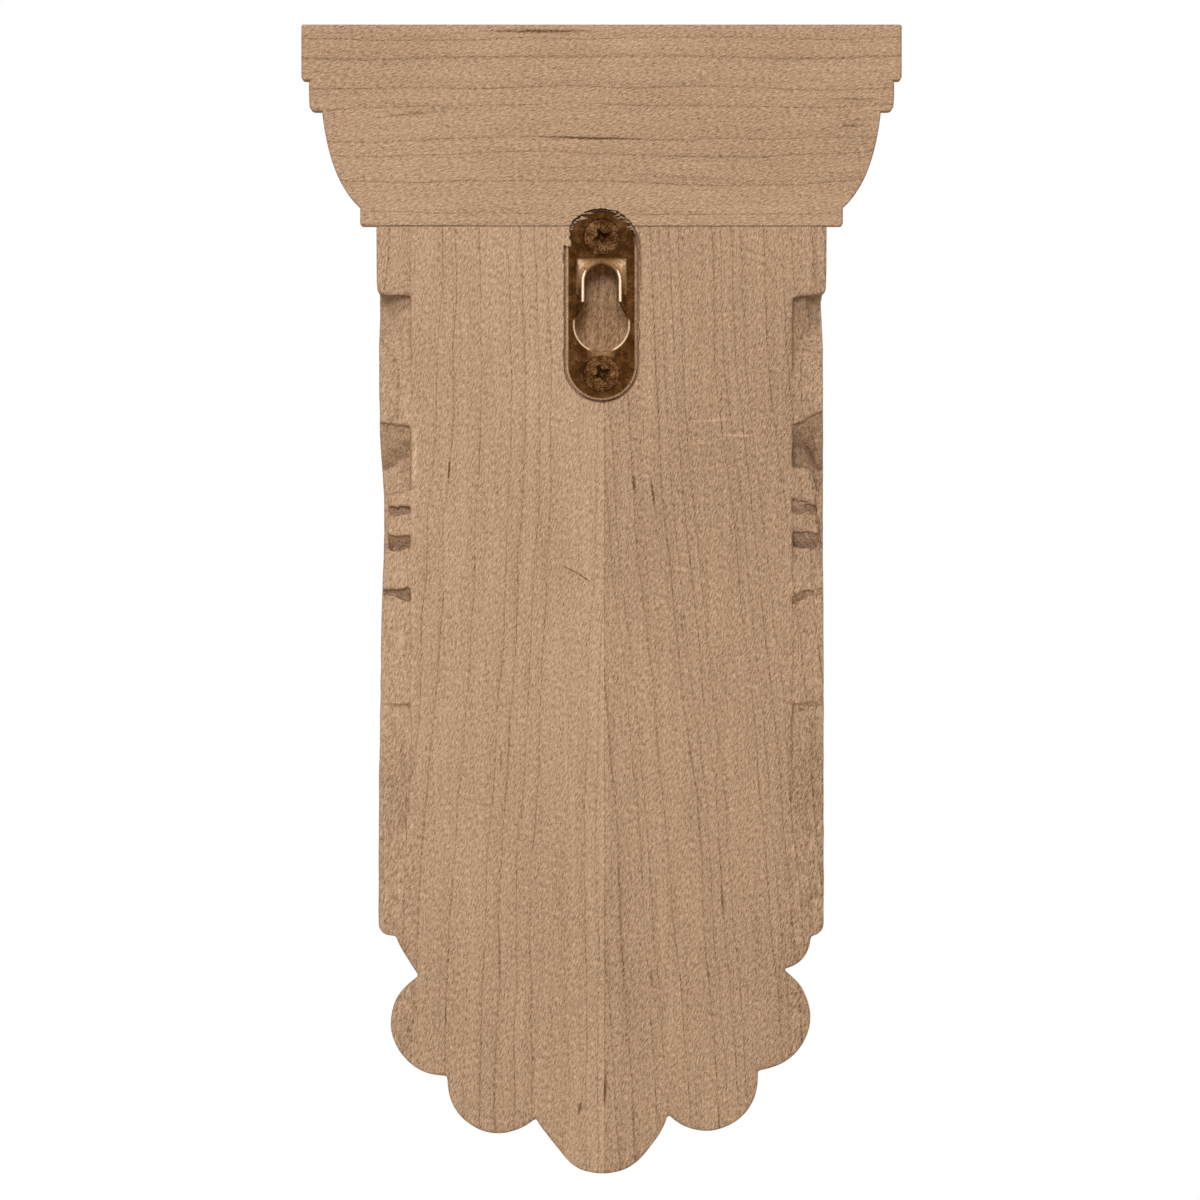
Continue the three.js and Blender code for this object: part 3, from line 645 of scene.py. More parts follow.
class Wiring:
    """Short hand for adding nodes to a tree and joining their sockets."""

    def __init__(self, tree):
        self.tree = tree

    def feed(self, socket, value):
        if isinstance(value, bpy.types.NodeSocket):
            self.tree.links.new(value, socket)
        else:
            socket.default_value = value

    def node(self, kind, inputs=None, **settings):
        node = self.tree.nodes.new(kind)
        for key, value in settings.items():
            setattr(node, key, value)
        for key, value in (inputs or {}).items():
            self.feed(node.inputs[key], value)
        return node

    def math(self, operation, a, b=0.0, c=0.0, clamp=False):
        node = self.node("ShaderNodeMath", operation=operation, use_clamp=clamp)
        for socket, value in zip(node.inputs, (a, b, c)):
            self.feed(socket, value)
        return node.outputs[0]


class Grain(Wiring):
    """A material and short hand for its patterns."""

    def __init__(self, name):
        self.material = bpy.data.materials.new(name)
        self.material.use_nodes = True
        super().__init__(self.material.node_tree)
        self.shader = self.tree.nodes["Principled BSDF"]

    def millimetres(self):
        """The place on the piece, in millimetres."""
        place = self.vector("SCALE", self.node("ShaderNodeTexCoord").outputs["Object"])
        place.node.inputs["Scale"].default_value = 1 / MM
        return place

    def vector(self, operation, a, b=(0, 0, 0)):
        node = self.node("ShaderNodeVectorMath", operation=operation)
        self.feed(node.inputs[0], a)
        self.feed(node.inputs[1], b)
        return node.outputs[0]

    def noise(self, place, scale, detail=3, rough=0.5, distortion=0.0):
        """Noise of a stretched place: scale is how many swings per millimetre each way."""
        stretched = self.vector("MULTIPLY", place, scale)
        inputs = {"Vector": stretched, "Scale": 1.0, "Detail": detail, "Roughness": rough,
                  "Distortion": distortion}
        return self.node("ShaderNodeTexNoise", inputs).outputs["Fac"]

    def ramp(self, factor, stops):
        node = self.node("ShaderNodeValToRGB", {"Fac": factor})
        elements = node.color_ramp.elements
        while len(elements) < len(stops):
            elements.new(0.5)
        for element, (place, value) in zip(elements, stops):
            element.position = place
            element.color = value if hasattr(value, "__len__") else (value, value, value, 1)
        return node.outputs["Color"]

    def spot(self, place, centre, reach, lean=0.0):
        """1 at the centre, falling to 0 at its reach along each axis."""
        inside = self.node("ShaderNodeMapping", {"Vector": place, "Location": centre, "Scale": reach,
                                                 "Rotation": (0, lean, 0)}, vector_type="TEXTURE")
        return self.node("ShaderNodeTexGradient", {"Vector": inside.outputs[0]},
                         gradient_type="SPHERICAL").outputs["Fac"]

    def mix(self, factor, a, b, blend="MIX"):
        node = self.node("ShaderNodeMix", data_type="RGBA", blend_type=blend)
        self.feed(node.inputs["Factor"], factor)
        self.feed(node.inputs[6], a)
        self.feed(node.inputs[7], b)
        return node.outputs[2]


mark_depth = 1.5


def maple(name, along, pale, dark, staves, joint=0.0, marks=(), torn_edges=(), painted_light_hollows=()):
    """Bare maple. along is the axis of the grain, 0 for x and 2 for z. A stave is the far
    centre of its growth rings, their width, lean and spread, and how much darker it is. A
    mark is a place, half its size each way, its lean, and how dark it is. A torn edge is a
    line along the grain with its foot and head. painted_light_hollows are hollows whose colour
    is multiplied by a tint of their own, lighter than white: painted light where they lie in shade."""
    g = Grain(name)
    place = g.millimetres()
    split = g.node("ShaderNodeSeparateXYZ", {"Vector": place}).outputs
    length = split[along]
    side_axis = split[0] if along == 2 else split[2]
    deep = split[1]
    from_joint = g.math("SUBTRACT", side_axis, joint)
    second = g.math("LESS_THAN", from_joint, 0.0) if len(staves) > 1 else 0.0

    def stretch(cross, lengthwise):
        return (lengthwise, cross, cross) if along == 0 else (cross, cross, lengthwise)

    sway = g.noise(place, stretch(0.018, 0.006), 1)
    wobble = g.noise(place, stretch(0.1, 0.035), 2)
    wave = g.math("MULTIPLY_ADD", wobble, 2.2, g.math("MULTIPLY", sway, 10.0))

    def years_of(across, back, width, lean, spread):
        lean = g.math("MULTIPLY_ADD", from_joint, spread, lean)
        du = g.math("SUBTRACT", g.math("MULTIPLY_ADD", length, lean, side_axis), across)
        dv = g.math("SUBTRACT", deep, back)
        far = g.math("SQRT", g.math("ADD", g.math("MULTIPLY", du, du), g.math("MULTIPLY", dv, dv)))
        return g.math("DIVIDE", g.math("ADD", far, wave), width)

    def chosen(values):
        if len(values) == 1:
            return values[0]
        mixed = g.node("ShaderNodeMix", {"Factor": second}, data_type="FLOAT")
        g.feed(mixed.inputs[2], values[0])
        g.feed(mixed.inputs[3], values[1])
        return mixed.outputs[0]

    years = chosen([years_of(*stave[:5]) for stave in staves])
    uneven = g.node("ShaderNodeTexNoise", {"W": years, "Scale": 0.45, "Detail": 1.0},
                    noise_dimensions="1D").outputs["Fac"]
    years = g.math("MULTIPLY_ADD", uneven, 2.1, years)
    within = g.math("FRACT", years)
    late = g.ramp(within, [(0.0, 0.25), (0.05, 0.1), (0.45, 0.0), (0.8, 0.3), (1.0, 0.75)])
    from_line = g.math("ABSOLUTE", g.math("SUBTRACT", within, 0.5))
    line = g.ramp(from_line, [(0.0, 0.0), (0.455, 0.0), (0.482, 1.0), (0.5, 1.0)])
    dashes = g.noise(place, stretch(0.5, 0.05), 3, 0.65)
    dashes = g.ramp(dashes, [(0.0, 0.4), (0.4, 0.5), (0.58, 0.85), (0.75, 1.0)])
    line = g.math("MULTIPLY", line, dashes)
    streak = g.noise(place, stretch(1.9, 0.045), 2, 0.5)
    streak = g.ramp(streak, [(0.0, 0.0), (0.63, 0.0), (0.7, 0.7), (1.0, 1.0)])

    fibre = g.noise(place, stretch(3.0, 0.25), 2, 0.6)
    silk = g.noise(place, stretch(0.6, 0.04), 3, 0.6)
    cloud = g.noise(place, stretch(0.03, 0.016), 2, 0.5)
    slant = (0, 0.3 if along else -0.3, 0)
    turned = g.node("ShaderNodeMapping", {"Vector": place, "Rotation": slant})
    fleck = g.noise(turned.outputs[0], stretch(3.4, 1.1), 3, 0.6, 0.3)
    grit = g.noise(place, (4.0, 4.0, 4.0), 2, 0.6)

    tone = -1.012
    for part, strength in ((fleck, 1.7), (grit, 0.75), (fibre, 0.16), (silk, 0.28), (cloud, 0.3),
                           (late, -0.09), (line, -0.2), (streak, -0.1)):
        tone = g.math("MULTIPLY_ADD", part, strength, tone)
    if len(staves) > 1:
        tone = g.math("SUBTRACT", tone, chosen([stave[5] for stave in staves]))
        near = g.math("ABSOLUTE", from_joint)
        glow = g.math("SUBTRACT", 1.0, g.math("DIVIDE", near, 7.0), clamp=True)
        glow = g.math("MULTIPLY", glow, g.math("SUBTRACT", 1.0, second))
        tone = g.math("MULTIPLY_ADD", glow, 0.06, tone)
        glue = g.math("MULTIPLY", g.math("LESS_THAN", near, 0.13), dashes)
        tone = g.math("MULTIPLY_ADD", glue, -0.22, tone)

    normal = g.node("ShaderNodeNewGeometry").outputs["Normal"]
    facing = g.node("ShaderNodeSeparateXYZ", {"Vector": normal}).outputs[along]
    end_grain = g.math("MULTIPLY_ADD", g.math("ABSOLUTE", facing), 3.0, -1.7, clamp=True)
    tone = g.math("MULTIPLY_ADD", end_grain, -0.12, tone)
    for across, height, half_width, half_length, lean, strength in marks:
        mark = g.spot(place, (across, 0, height), (half_width, mark_depth, half_length), lean)
        tone = g.math("MULTIPLY_ADD", g.math("POWER", mark, 0.6), -strength, tone)
    for across, foot, head, strength in torn_edges:
        near = g.math("ABSOLUTE", g.math("SUBTRACT", side_axis, across))
        near = g.math("SUBTRACT", 1.0, g.math("DIVIDE", near, 0.6), clamp=True)
        near = g.math("MULTIPLY", near, g.math("GREATER_THAN", length, foot))
        near = g.math("MULTIPLY", near, g.math("LESS_THAN", length, head))
        near = g.math("MULTIPLY", near, g.math("GREATER_THAN", deep, -1.8))
        patchy = g.noise(place, (1.2, 1.2, 0.6), 3, 0.7)
        patchy = g.ramp(patchy, [(0.0, 0.0), (0.43, 0.0), (0.55, 1.0)])
        tone = g.math("MULTIPLY_ADD", g.math("MULTIPLY", near, patchy), strength, tone)
    tone = g.math("ADD", tone, 0.0, clamp=True)
    colour = g.mix(tone, linear(*dark), linear(*pale))
    # Painted light: each listed hollow's colour is multiplied by its tint, lighter than white, to lift it
    # where it lies in shade.
    for centre, reach, shade in painted_light_hollows:
        share = g.math("MULTIPLY", g.spot(place, centre, reach), 4.0, clamp=True)
        colour = g.mix(share, colour, g.mix(1.0, colour, linear(*shade), "MULTIPLY"))
    g.feed(g.shader.inputs["Base Color"], colour)

    g.feed(g.shader.inputs["Roughness"], g.math("MULTIPLY_ADD", grit, 0.2, 0.5))
    g.shader.inputs["Specular IOR Level"].default_value = 0.3
    relief = g.math("MULTIPLY_ADD", fleck, 1.0, g.math("MULTIPLY", grit, 0.4))
    relief = g.math("MULTIPLY_ADD", line, -0.2, relief)
    bump = g.node("ShaderNodeBump", {"Height": relief, "Strength": 1.0, "Distance": 0.0004})
    g.feed(g.shader.inputs["Normal"], bump.outputs["Normal"])
    return g.material


# Marks on the body. The wide faint one centred at (0, -80) is painted shade: it darkens the lower back
# towards the bottom, where less light falls. The short one at (-39.9, -21.9) is the painted shade of a
# small crack. The long ones at x +-41 darken the lowest facets of the side strips.
body_marks = [
    (30.3, 25.7, 0.28, 2, 0, 0.6), (-7.7, 67.5, 0.3, 7, 0.03, 0.4), (-6.5, 22.9, 0.3, 2.2, 0.1, 0.55),
    (-10.2, 21.2, 0.3, 3.4, 0.12, 0.6), (-9.9, -75.3, 0.28, 1.7, 0.1, 0.45),
    (-0.7, -97.5, 0.35, 3.6, -0.05, 0.6), (4.3, -101.2, 0.45, 1.7, -0.2, 0.5),
    (6.2, 5.9, 0.25, 2, 1.15, 0.5), (3.6, 4.4, 0.25, 2, 0.95, 0.55), (-24, -60, 0.3, 3, 0.05, 0.35),
    (-16, -5, 0.3, 3, 0.08, 0.35), (20, -32, 0.3, 3.5, -0.03, 0.35), (-22, 35.6, 6, 0.3, 0.05, -0.22),
    (-27, 32.6, 5, 0.3, -0.04, -0.22), (-19.5, 31, 4, 0.25, 0.08, -0.18), (41, -33, 4.5, 16, 0, 0.14),
    (-41, -33, 4.5, 16, 0, 0.14), (0, -80, 75, 75, 0, 0.05), (-39.9, -21.9, 1.2, 0.35, -0.3, 0.6),
    (40.6, -20.6, 1.3, 0.3, 0, -0.35),
]
# The keyhole cavity in the body gets painted light, so its shaded wood reads lighter.
body_maple = maple("carved_maple", 2, (228, 195, 167), (104, 72, 44),
                   [(95, 60, 3.6, 0.004, 0.0013, 0.0), (-110, 30, 3.1, -0.055, 0.0006, 0.07)],
                   joint=-0.6, marks=body_marks,
                   torn_edges=[(37.7, -46, 1, 0.16), (-37.7, -20, 20, 0.14), (37.2, 23.5, 34, 0.45)],
                   painted_light_hollows=[((0, -11, 58), (12, 10, 20), (268, 258, 240))])
carved_body.data.materials.clear()
carved_body.data.materials.append(body_maple)
carved_body.data.shade_smooth()
carved_body.data.set_sharp_from_angle(angle=math.radians(38))
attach(carved_body, "root")
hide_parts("carved_body")


# Moulded cap: one block of maple with its grain running across, run through moulding
# cutters and mitred round the front and both sides, then glued over the body.
cap_height = 40.0
top_fillet, bead, neck_fillet = 10.9, 6.2, 3.8
top_out, bead_out, ovolo_out, ovolo_foot_out, neck_out = 14.9, 13.4, 10.8, 3.4, 3.2
top_z = joint_z + cap_height


def moulding_profile():
    """The moulding from the middle of the top, out and down to the middle of the foot."""
    soft = 0.6
    bead_top = top_z - top_fillet
    ovolo_top = bead_top - bead
    ovolo_foot = joint_z + neck_fillet
    line = [(-body_half, top_z), (top_out - 0.3, top_z), (top_out, top_z - 0.3)]
    line += quadratic((top_out, bead_top + soft), (top_out, bead_top),
                      (top_out - soft, bead_top - 0.02), 5)
    line.append((bead_out - soft, bead_top - 0.04))
    middle = (bead_out, bead_top - bead / 2)
    line += quadratic(line[-1], (bead_out, bead_top - 0.04), (bead_out, bead_top - 1.2), 6)[1:]
    line.append(middle)
    low_bend = (bead_out - 0.1, ovolo_top + 1.3)
    line += quadratic(low_bend, (bead_out - 0.1, ovolo_top), (bead_out - 1.2, ovolo_top), 6)
    line.append((ovolo_out, ovolo_top - 0.02))
    belly = (ovolo_foot_out + (ovolo_out - ovolo_foot_out) * 0.8,
             ovolo_foot + (ovolo_top - ovolo_foot) * 0.27)
    line += quadratic(line[-1], belly, (ovolo_foot_out, ovolo_foot), 22)[1:]
    line.append((neck_out, ovolo_foot - 0.02))
    line.append((neck_out, joint_z + soft))
    line += quadratic(line[-1], (neck_out, joint_z), (neck_out - soft, joint_z + 0.02), 5)[1:]
    line.append((-body_half, joint_z))
    return line


profile = moulding_profile()
cap_mesh = bpy.data.meshes.new("moulded_maple_cap")
cap_mesh.from_pydata([(out * MM, 0, z * MM) for out, z in profile],
                     [(i, i + 1) for i in range(len(profile) - 1)], [])
cap = put_in_scene("moulded_maple_cap", cap_mesh)


class Tree(Wiring):
    """A Geometry Nodes tree with named inputs."""

    def __init__(self, name, inputs):
        super().__init__(bpy.data.node_groups.new(name, "GeometryNodeTree"))
        face = self.tree.interface
        face.new_socket("Geometry", in_out="INPUT", socket_type="NodeSocketGeometry")
        for label, value in inputs.items():
            kind = "NodeSocketInt" if isinstance(value, int) else "NodeSocketFloat"
            face.new_socket(label, in_out="INPUT", socket_type=kind).default_value = value
        face.new_socket("Geometry", in_out="OUTPUT", socket_type="NodeSocketGeometry")
        self.given = self.tree.nodes.new("NodeGroupInput").outputs
        self.result = self.tree.nodes.new("NodeGroupOutput").inputs[0]

    def xyz(self, x, y, z):
        return self.node("ShaderNodeCombineXYZ", {"X": x, "Y": y, "Z": z}).outputs[0]

    def finish(self, geometry, material):
        real = self.node("GeometryNodeRealizeInstances", {"Geometry": geometry})
        done = self.node("GeometryNodeSetMaterial", {"Geometry": real.outputs[0]})
        done.inputs["Material"].default_value = material
        self.feed(self.result, done.outputs[0])

    def put_on(self, piece, **values):
        modifier = piece.modifiers.new(self.tree.name, "NODES")
        modifier.node_group = self.tree
        for item in self.tree.interface.items_tree:
            label = item.name.lower().replace(" ", "_")
            if item.item_type == "SOCKET" and item.in_out == "INPUT" and label in values:
                modifier[item.identifier] = values[label]


cap_marks = [
    (12.6, 113, 12, 0.4, 0, 0.6), (2, 91.7, 11.5, 0.35, -0.02, 0.55), (-49.5, 94.2, 3.4, 0.35, 0.05, 0.4),
    (-50.6, 95.3, 2.6, 0.3, 0, 0.25), (-47.8, 96.2, 2, 0.25, 0, 0.2), (-15, 84, 14, 0.6, -0.04, 0.2),
    (38, 96.5, 8, 0.35, 0.1, 0.3), (-50, 99.5, 6, 0.35, 0, 0.3),
]
cap_maple = maple("planed_maple", 0, (221, 188, 160), (102, 70, 42),
                  [(190, 30, 4.3, 0.004, 0.0, 0.0)], marks=cap_marks)

mortise_radius = 7.5
run = Tree("moulding_run", {
    "Half width": body_half * MM, "Depth": body_depth * MM, "Arris": 0.00025,
    "Mortise radius": mortise_radius * MM, "Mortise centre": 0.0703, "Mortise depth": 0.0019,
    "Torn fibres": 13, "Seed": 4})
half_w, depth_in, bevel = run.given["Half width"], run.given["Depth"], run.given["Arris"]
place = run.node("GeometryNodeInputPosition").outputs[0]
parts = run.node("ShaderNodeSeparateXYZ", {"Vector": place}).outputs
keep_out = run.node("GeometryNodeStoreNamedAttribute", {
    "Geometry": run.given["Geometry"], "Name": "overhang", "Value": parts[0]},
    data_type="FLOAT", domain="POINT")
overhang = run.node("GeometryNodeInputNamedAttribute", {"Name": "overhang"},
                    data_type="FLOAT").outputs[0]


def pulled_in(size, inset):
    return run.math("MAXIMUM", run.math("SUBTRACT", size, inset), 0.0)


wide = run.math("ADD", half_w, overhang)
deep = run.math("MAXIMUM", run.math("ADD", depth_in, overhang), 0.0)
narrow, shallow = pulled_in(wide, bevel), pulled_in(deep, bevel)
corners = [(-1, narrow, None), (-1, wide, bevel), (-1, wide, shallow), (-1, narrow, deep),
           (1, narrow, deep), (1, wide, shallow), (1, wide, bevel), (1, narrow, None), (-1, narrow, None)]
shape = keep_out.outputs[0]
moving = None
for number, (side, x, y) in enumerate(corners):
    if number:
        pulled = run.node("GeometryNodeExtrudeMesh", {"Mesh": shape, "Offset Scale": 0.0},
                          mode="EDGES")
        if moving is not None:
            run.feed(pulled.inputs["Selection"], moving)
        shape, moving = pulled.outputs["Mesh"], pulled.outputs["Top"]
    back = 0.0 if y is None else run.math("MULTIPLY", run.math("MINIMUM", y, deep), -1.0)
    place_at = run.xyz(run.math("MULTIPLY", x, float(side)), back, parts[2])
    placed = run.node("GeometryNodeSetPosition", {"Geometry": shape, "Position": place_at})
    if moving is not None:
        run.feed(placed.inputs["Selection"], moving)
    shape = placed.outputs[0]
welded = run.node("GeometryNodeMergeByDistance", {"Geometry": shape, "Distance": 0.000001})
outward = run.node("GeometryNodeFlipFaces", {"Mesh": welded.outputs[0]})
cutter = run.node("GeometryNodeMeshCylinder", {
    "Vertices": 160, "Radius": run.given["Mortise radius"],
    "Depth": run.math("MULTIPLY", run.given["Mortise depth"], 2.0)})
ragged = run.node("ShaderNodeTexNoise", {"Scale": 900.0, "Detail": 2.0})
push = run.node("ShaderNodeVectorMath", operation="MULTIPLY_ADD")
run.feed(push.inputs[0], ragged.outputs["Color"])
push.inputs[1].default_value = (0.0011, 0.0011, 0)
push.inputs[2].default_value = (-0.00055, -0.00055, 0)
torn = run.node("GeometryNodeSetPosition", {"Geometry": cutter.outputs["Mesh"],
                                            "Offset": push.outputs[0]})
lying_down = (math.pi / 2, 0, 0)
turned = run.node("GeometryNodeTransform", {
    "Geometry": torn.outputs[0], "Rotation": lying_down,
    "Translation": run.xyz(0.0, 0.0, run.given["Mortise centre"])})
cut = run.node("GeometryNodeMeshBoolean", {"Mesh 1": outward.outputs[0], "Mesh 2": turned.outputs[0]},
               operation="DIFFERENCE", solver="MANIFOLD")

# Fibres torn up at the mouth of the mortise, where the cutter left the end of the grain
arcs = run.node("GeometryNodeJoinGeometry")
for start, sweep in ((0.5, 0.7), (2.0, 0.8)):
    arc = run.node("GeometryNodeCurveArc", {"Resolution": 30, "Radius": 0.0072, "Start Angle": start,
                                            "Sweep Angle": sweep}, mode="RADIUS")
    run.feed(arcs.inputs[0], arc.outputs[0])
spots = run.node("GeometryNodeCurveToPoints", {
    "Curve": arcs.outputs[0], "Count": run.given["Torn fibres"]}, mode="COUNT")
hair = run.node("GeometryNodeMeshCone", {"Vertices": 5, "Side Segments": 3, "Radius Top": 0.00001,
                                         "Radius Bottom": 0.0002, "Depth": 0.0022})


def chance(low, high, extra):
    seed = run.math("ADD", run.given["Seed"], float(extra))
    node = run.node("FunctionNodeRandomValue", {"Seed": seed}, data_type="FLOAT")
    node.inputs[2].default_value = low
    node.inputs[3].default_value = high
    return node.outputs[1]


lying = run.node("ShaderNodeSeparateXYZ", {"Vector": run.node("GeometryNodeInputPosition").outputs[0]})
inward = run.math("SIGN", lying.outputs["X"])
stand = run.node("GeometryNodeInstanceOnPoints", {
    "Points": spots.outputs["Points"], "Instance": hair.outputs["Mesh"],
    "Rotation": run.xyz(chance(-0.25, 0.25, 1), run.math("MULTIPLY", inward, chance(-1.75, -1.4, 2)),
                        chance(-0.35, 0.35, 3)),
    "Scale": run.xyz(chance(0.5, 1.2, 4), chance(0.5, 1.2, 5), chance(0.15, 0.75, 6))})
slid = run.node("GeometryNodeTranslateInstances", {
    "Instances": stand.outputs[0],
    "Translation": run.xyz(chance(-0.0004, 0.0004, 7), chance(-0.0004, 0.0003, 8),
                           chance(0.0, 0.0004, 9))})
stood = run.node("GeometryNodeTransform", {
    "Geometry": slid.outputs[0], "Rotation": lying_down,
    "Translation": run.xyz(0.0, -0.0003, run.given["Mortise centre"])})
whole = run.node("GeometryNodeJoinGeometry")
run.feed(whole.inputs[0], cut.outputs["Mesh"])
run.feed(whole.inputs[0], stood.outputs[0])
run.finish(whole.outputs[0], cap_maple)
run.put_on(cap)
baked(cap)
cap.data.shade_smooth()
cap.data.set_sharp_from_angle(angle=math.radians(30))
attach(cap, "root")
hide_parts("moulded_cap")


# Keyhole plate: pressed steel with a brown antique finish, its cut edges rubbed bright,
# with painted highlights on its edges and lip.
# A shallow panel is pressed round the slot, and the screw holes are dished.
hole_radius = 5.3
slot_width = 6.4
lip_low = keyhole_z + 4.2
lip_half, lip_rise = 0.5, 0.26
panel_half, panel_sunk = 4.8, 0.3


def keyhole_distance(across, up):
    """The slot above, the round hole below, and straight cheeks between them."""
    slot = stadium_distance(across, up, slot_width, keyhole_z - 3.2, slot_top)
    hole = np.maximum(np.hypot(across, up - keyhole_z) - hole_radius, up - keyhole_z - 1.2)
    cheek = hole_radius - 0.08 - (up - keyhole_z - 1.0) * 0.52
    cheeks = np.maximum(np.abs(across) - cheek, np.abs(up - keyhole_z - 2.65) - 1.65)
    return np.minimum(slot, np.minimum(hole, cheeks))


def panel_distance(across, up):
    upright = np.maximum(up - slot_top - 1.15, keyhole_z + 3.2 - up)
    return np.maximum(np.abs(across) - panel_half, upright)


def lip_of(across, up):
    """The curled lip round the slot: 1 on its crest, 0 beside it."""
    off = stadium_distance(across, up, slot_width, keyhole_z - 3.2, slot_top) - lip_half
    return np.clip(1 - (off / lip_half) ** 2, 0, 1) * np.clip((up - lip_low) * 2, 0, 1)


def plate_field(x, y, z):
    across, up = np.meshgrid(x, z, indexing="ij")
    depth = (-y - plate_sunk)[None, :, None]
    pressed = panel_sunk * np.clip(0.5 - panel_distance(across, up) / 0.7, 0, 1)
    face = pressed - lip_rise * lip_of(across, up) + 0.03 * ripple(8, (1.5, 1.5), x, z)
    outline = stadium_distance(across, up, plate_width, plate_low, plate_top)
    field = np.maximum(np.maximum(face, 0.01)[:, None, :] - depth, depth - plate_thickness)
    field = rounded_max(field, outline[:, None, :], 0.4)
    field = rounded_max(field, -keyhole_distance(across, up)[:, None, :], 0.25)
    for screw_z in screw_zs:
        ring = np.hypot(across, up - screw_z)[:, None, :]
        cone = np.interp(depth, [0.0, 0.4, 2.5], [3.55, 3.54, 1.6])
        field = np.maximum(field, cone - ring)
    return field


plate_room = 0.5
plate, points = piece_from_field(
    "keyhole_hanger_plate", plate_field,
    (-plate_width / 2 - plate_room, -mortise_depth - plate_room, plate_low - plate_room),
    (plate_width / 2 + plate_room, plate_room, plate_top + plate_room), 0.15)


def rubbed_bright(points):
    """Where the finish is worn or cut through, mixed with painted highlights: edges, the lip,
    and a few patches, lighter where they would catch the light, fading where they lie in shade.
    """
    x, depth, z = points[:, 0], -points[:, 1] - plate_sunk, points[:, 2]
    # The outer rim: cut steel with a painted highlight on its rounded edge, faded out near the top, where
    # that edge lies in shade.
    rim = np.clip(1 + stadium_distance(x, z, plate_width, plate_low, plate_top) / 0.55, 0, 1)
    rim = rim * np.clip((plate_top - 5 - z) / 3, 0, 1)
    # The keyhole's lower edge: cut steel with a painted highlight, faded above the hole and in the
    # middle.
    hole_edge = np.clip(1.7 - keyhole_distance(x, z) / 0.26, 0, 1) * (depth < 1.2)
    hole_edge = hole_edge * np.clip(keyhole_z + 1.5 - z, 0, 1)
    hole_edge = hole_edge * np.clip(np.abs(x) / 1.6 - 0.7, 0.25, 1)
    # The panel's edge is painted lighter above the hole.
    panel_edge = np.clip(1 - np.abs(panel_distance(x, z)) / 0.3, 0, 1) * 0.3 * (z > keyhole_z + 6)
    bright = np.maximum(np.maximum(np.sqrt(rim) * 0.9, hole_edge), panel_edge)
    # Painted highlights on the lip's flanks, faint over the top of its arc.
    flank = np.clip(0.15 + 1.6 * (np.abs(x) - 2.8), 0.15, 1)
    bright = np.maximum(bright, lip_of(x, z) ** 2 * flank)
    # The panel's upper part is painted lighter towards its top corners.
    upper = np.clip((z - slot_top + 5) / 5, 0, 1) * np.clip(0.2 + np.abs(x) / 5, 0, 1)
    bright = np.maximum(bright, 0.6 * upper * np.clip(0.6 - panel_distance(x, z) / 0.3, 0, 1))
    worn = np.hypot(x / 1.5, z - plate_low - 9.3)
    bright = np.maximum(bright, 0.3 * np.clip(1.3 - worn / 1.6, 0, 1))
    return bright


# The attribute carries real wear and painted highlights together.
rubbed = plate.data.attributes.new("rubbed", "FLOAT", "POINT")
rubbed.data.foreach_set("value", rubbed_bright(points).astype(np.float32))


def antique_steel(name, brown, mid, pale, grain, rough):
    """Steel browned unevenly, with grain pits to the millimetre, as strong as rough says,
    and bright metal and painted highlights where the piece's rubbed attribute says so."""
    g = Grain(name)
    place = g.millimetres()
    blotch = g.noise(place, (0.45, 0.45, 0.45), 4, 0.6)
    pits = g.noise(place, (grain, grain, grain), 3, 0.65)
    brushed = g.noise(place, (0.5, 0.5, 6.0), 2, 0.5)
    tone = g.math("MULTIPLY_ADD", pits, rough, -0.5 * rough)
    tone = g.math("MULTIPLY_ADD", blotch, 1.2, g.math("SUBTRACT", tone, 0.1))
    tone = g.math("MULTIPLY_ADD", brushed, 0.15, tone)
    colour = g.ramp(tone, [(0.28, linear(*brown)), (0.55, linear(*mid)), (0.85, linear(*pale))])
    rubbed = g.node("ShaderNodeAttribute", attribute_name="rubbed").outputs["Fac"]
    bare_and_highlight = g.math("MULTIPLY_ADD", pits, 1.5, 0.35)
    bare_and_highlight = g.math("MULTIPLY", rubbed, bare_and_highlight, clamp=True)
    # Where the attribute is high the colour goes to bare steel and, at its peak, near white: real wear
    # and painted highlights.
    colour = g.mix(bare_and_highlight, colour, linear(200, 160, 120))
    bright = g.math("MULTIPLY_ADD", bare_and_highlight, 2.2, -1.2, clamp=True)
    g.feed(g.shader.inputs["Base Color"], g.mix(bright, colour, linear(250, 232, 208)))
    g.feed(g.shader.inputs["Metallic"], g.math("MULTIPLY_ADD", bare_and_highlight, 0.2, 0.25))
    g.shader.inputs["Specular IOR Level"].default_value = 0.15
    g.shader.inputs["Specular Tint"].default_value = linear(255, 205, 150)
    g.feed(g.shader.inputs["Roughness"], g.math("MULTIPLY_ADD", pits, 0.35, 0.36))
    relief = g.math("MULTIPLY_ADD", brushed, 0.2, pits)
    bump = g.node("ShaderNodeBump", {"Height": relief, "Strength": 0.7, "Distance": 0.00012})
    g.feed(g.shader.inputs["Normal"], bump.outputs["Normal"])
    return g.material


plate_steel = antique_steel("antique_plate_steel", (38, 19, 4), (63, 37, 13), (100, 69, 40),
                            grain=2.0, rough=0.8)
plate.data.materials.clear()
plate.data.materials.append(plate_steel)
plate.data.shade_smooth()
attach(plate, "root")
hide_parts("keyhole_plate")


# Wood screws: two countersunk steel screws with cross recesses, browned like the plate.
# The thread is rolled on the shank and isn't seen once the screw is home.
screw_steel = antique_steel("antique_screw_steel", (38, 18, 3), (74, 45, 20), (136, 102, 70),
                            grain=3.0, rough=1.7)


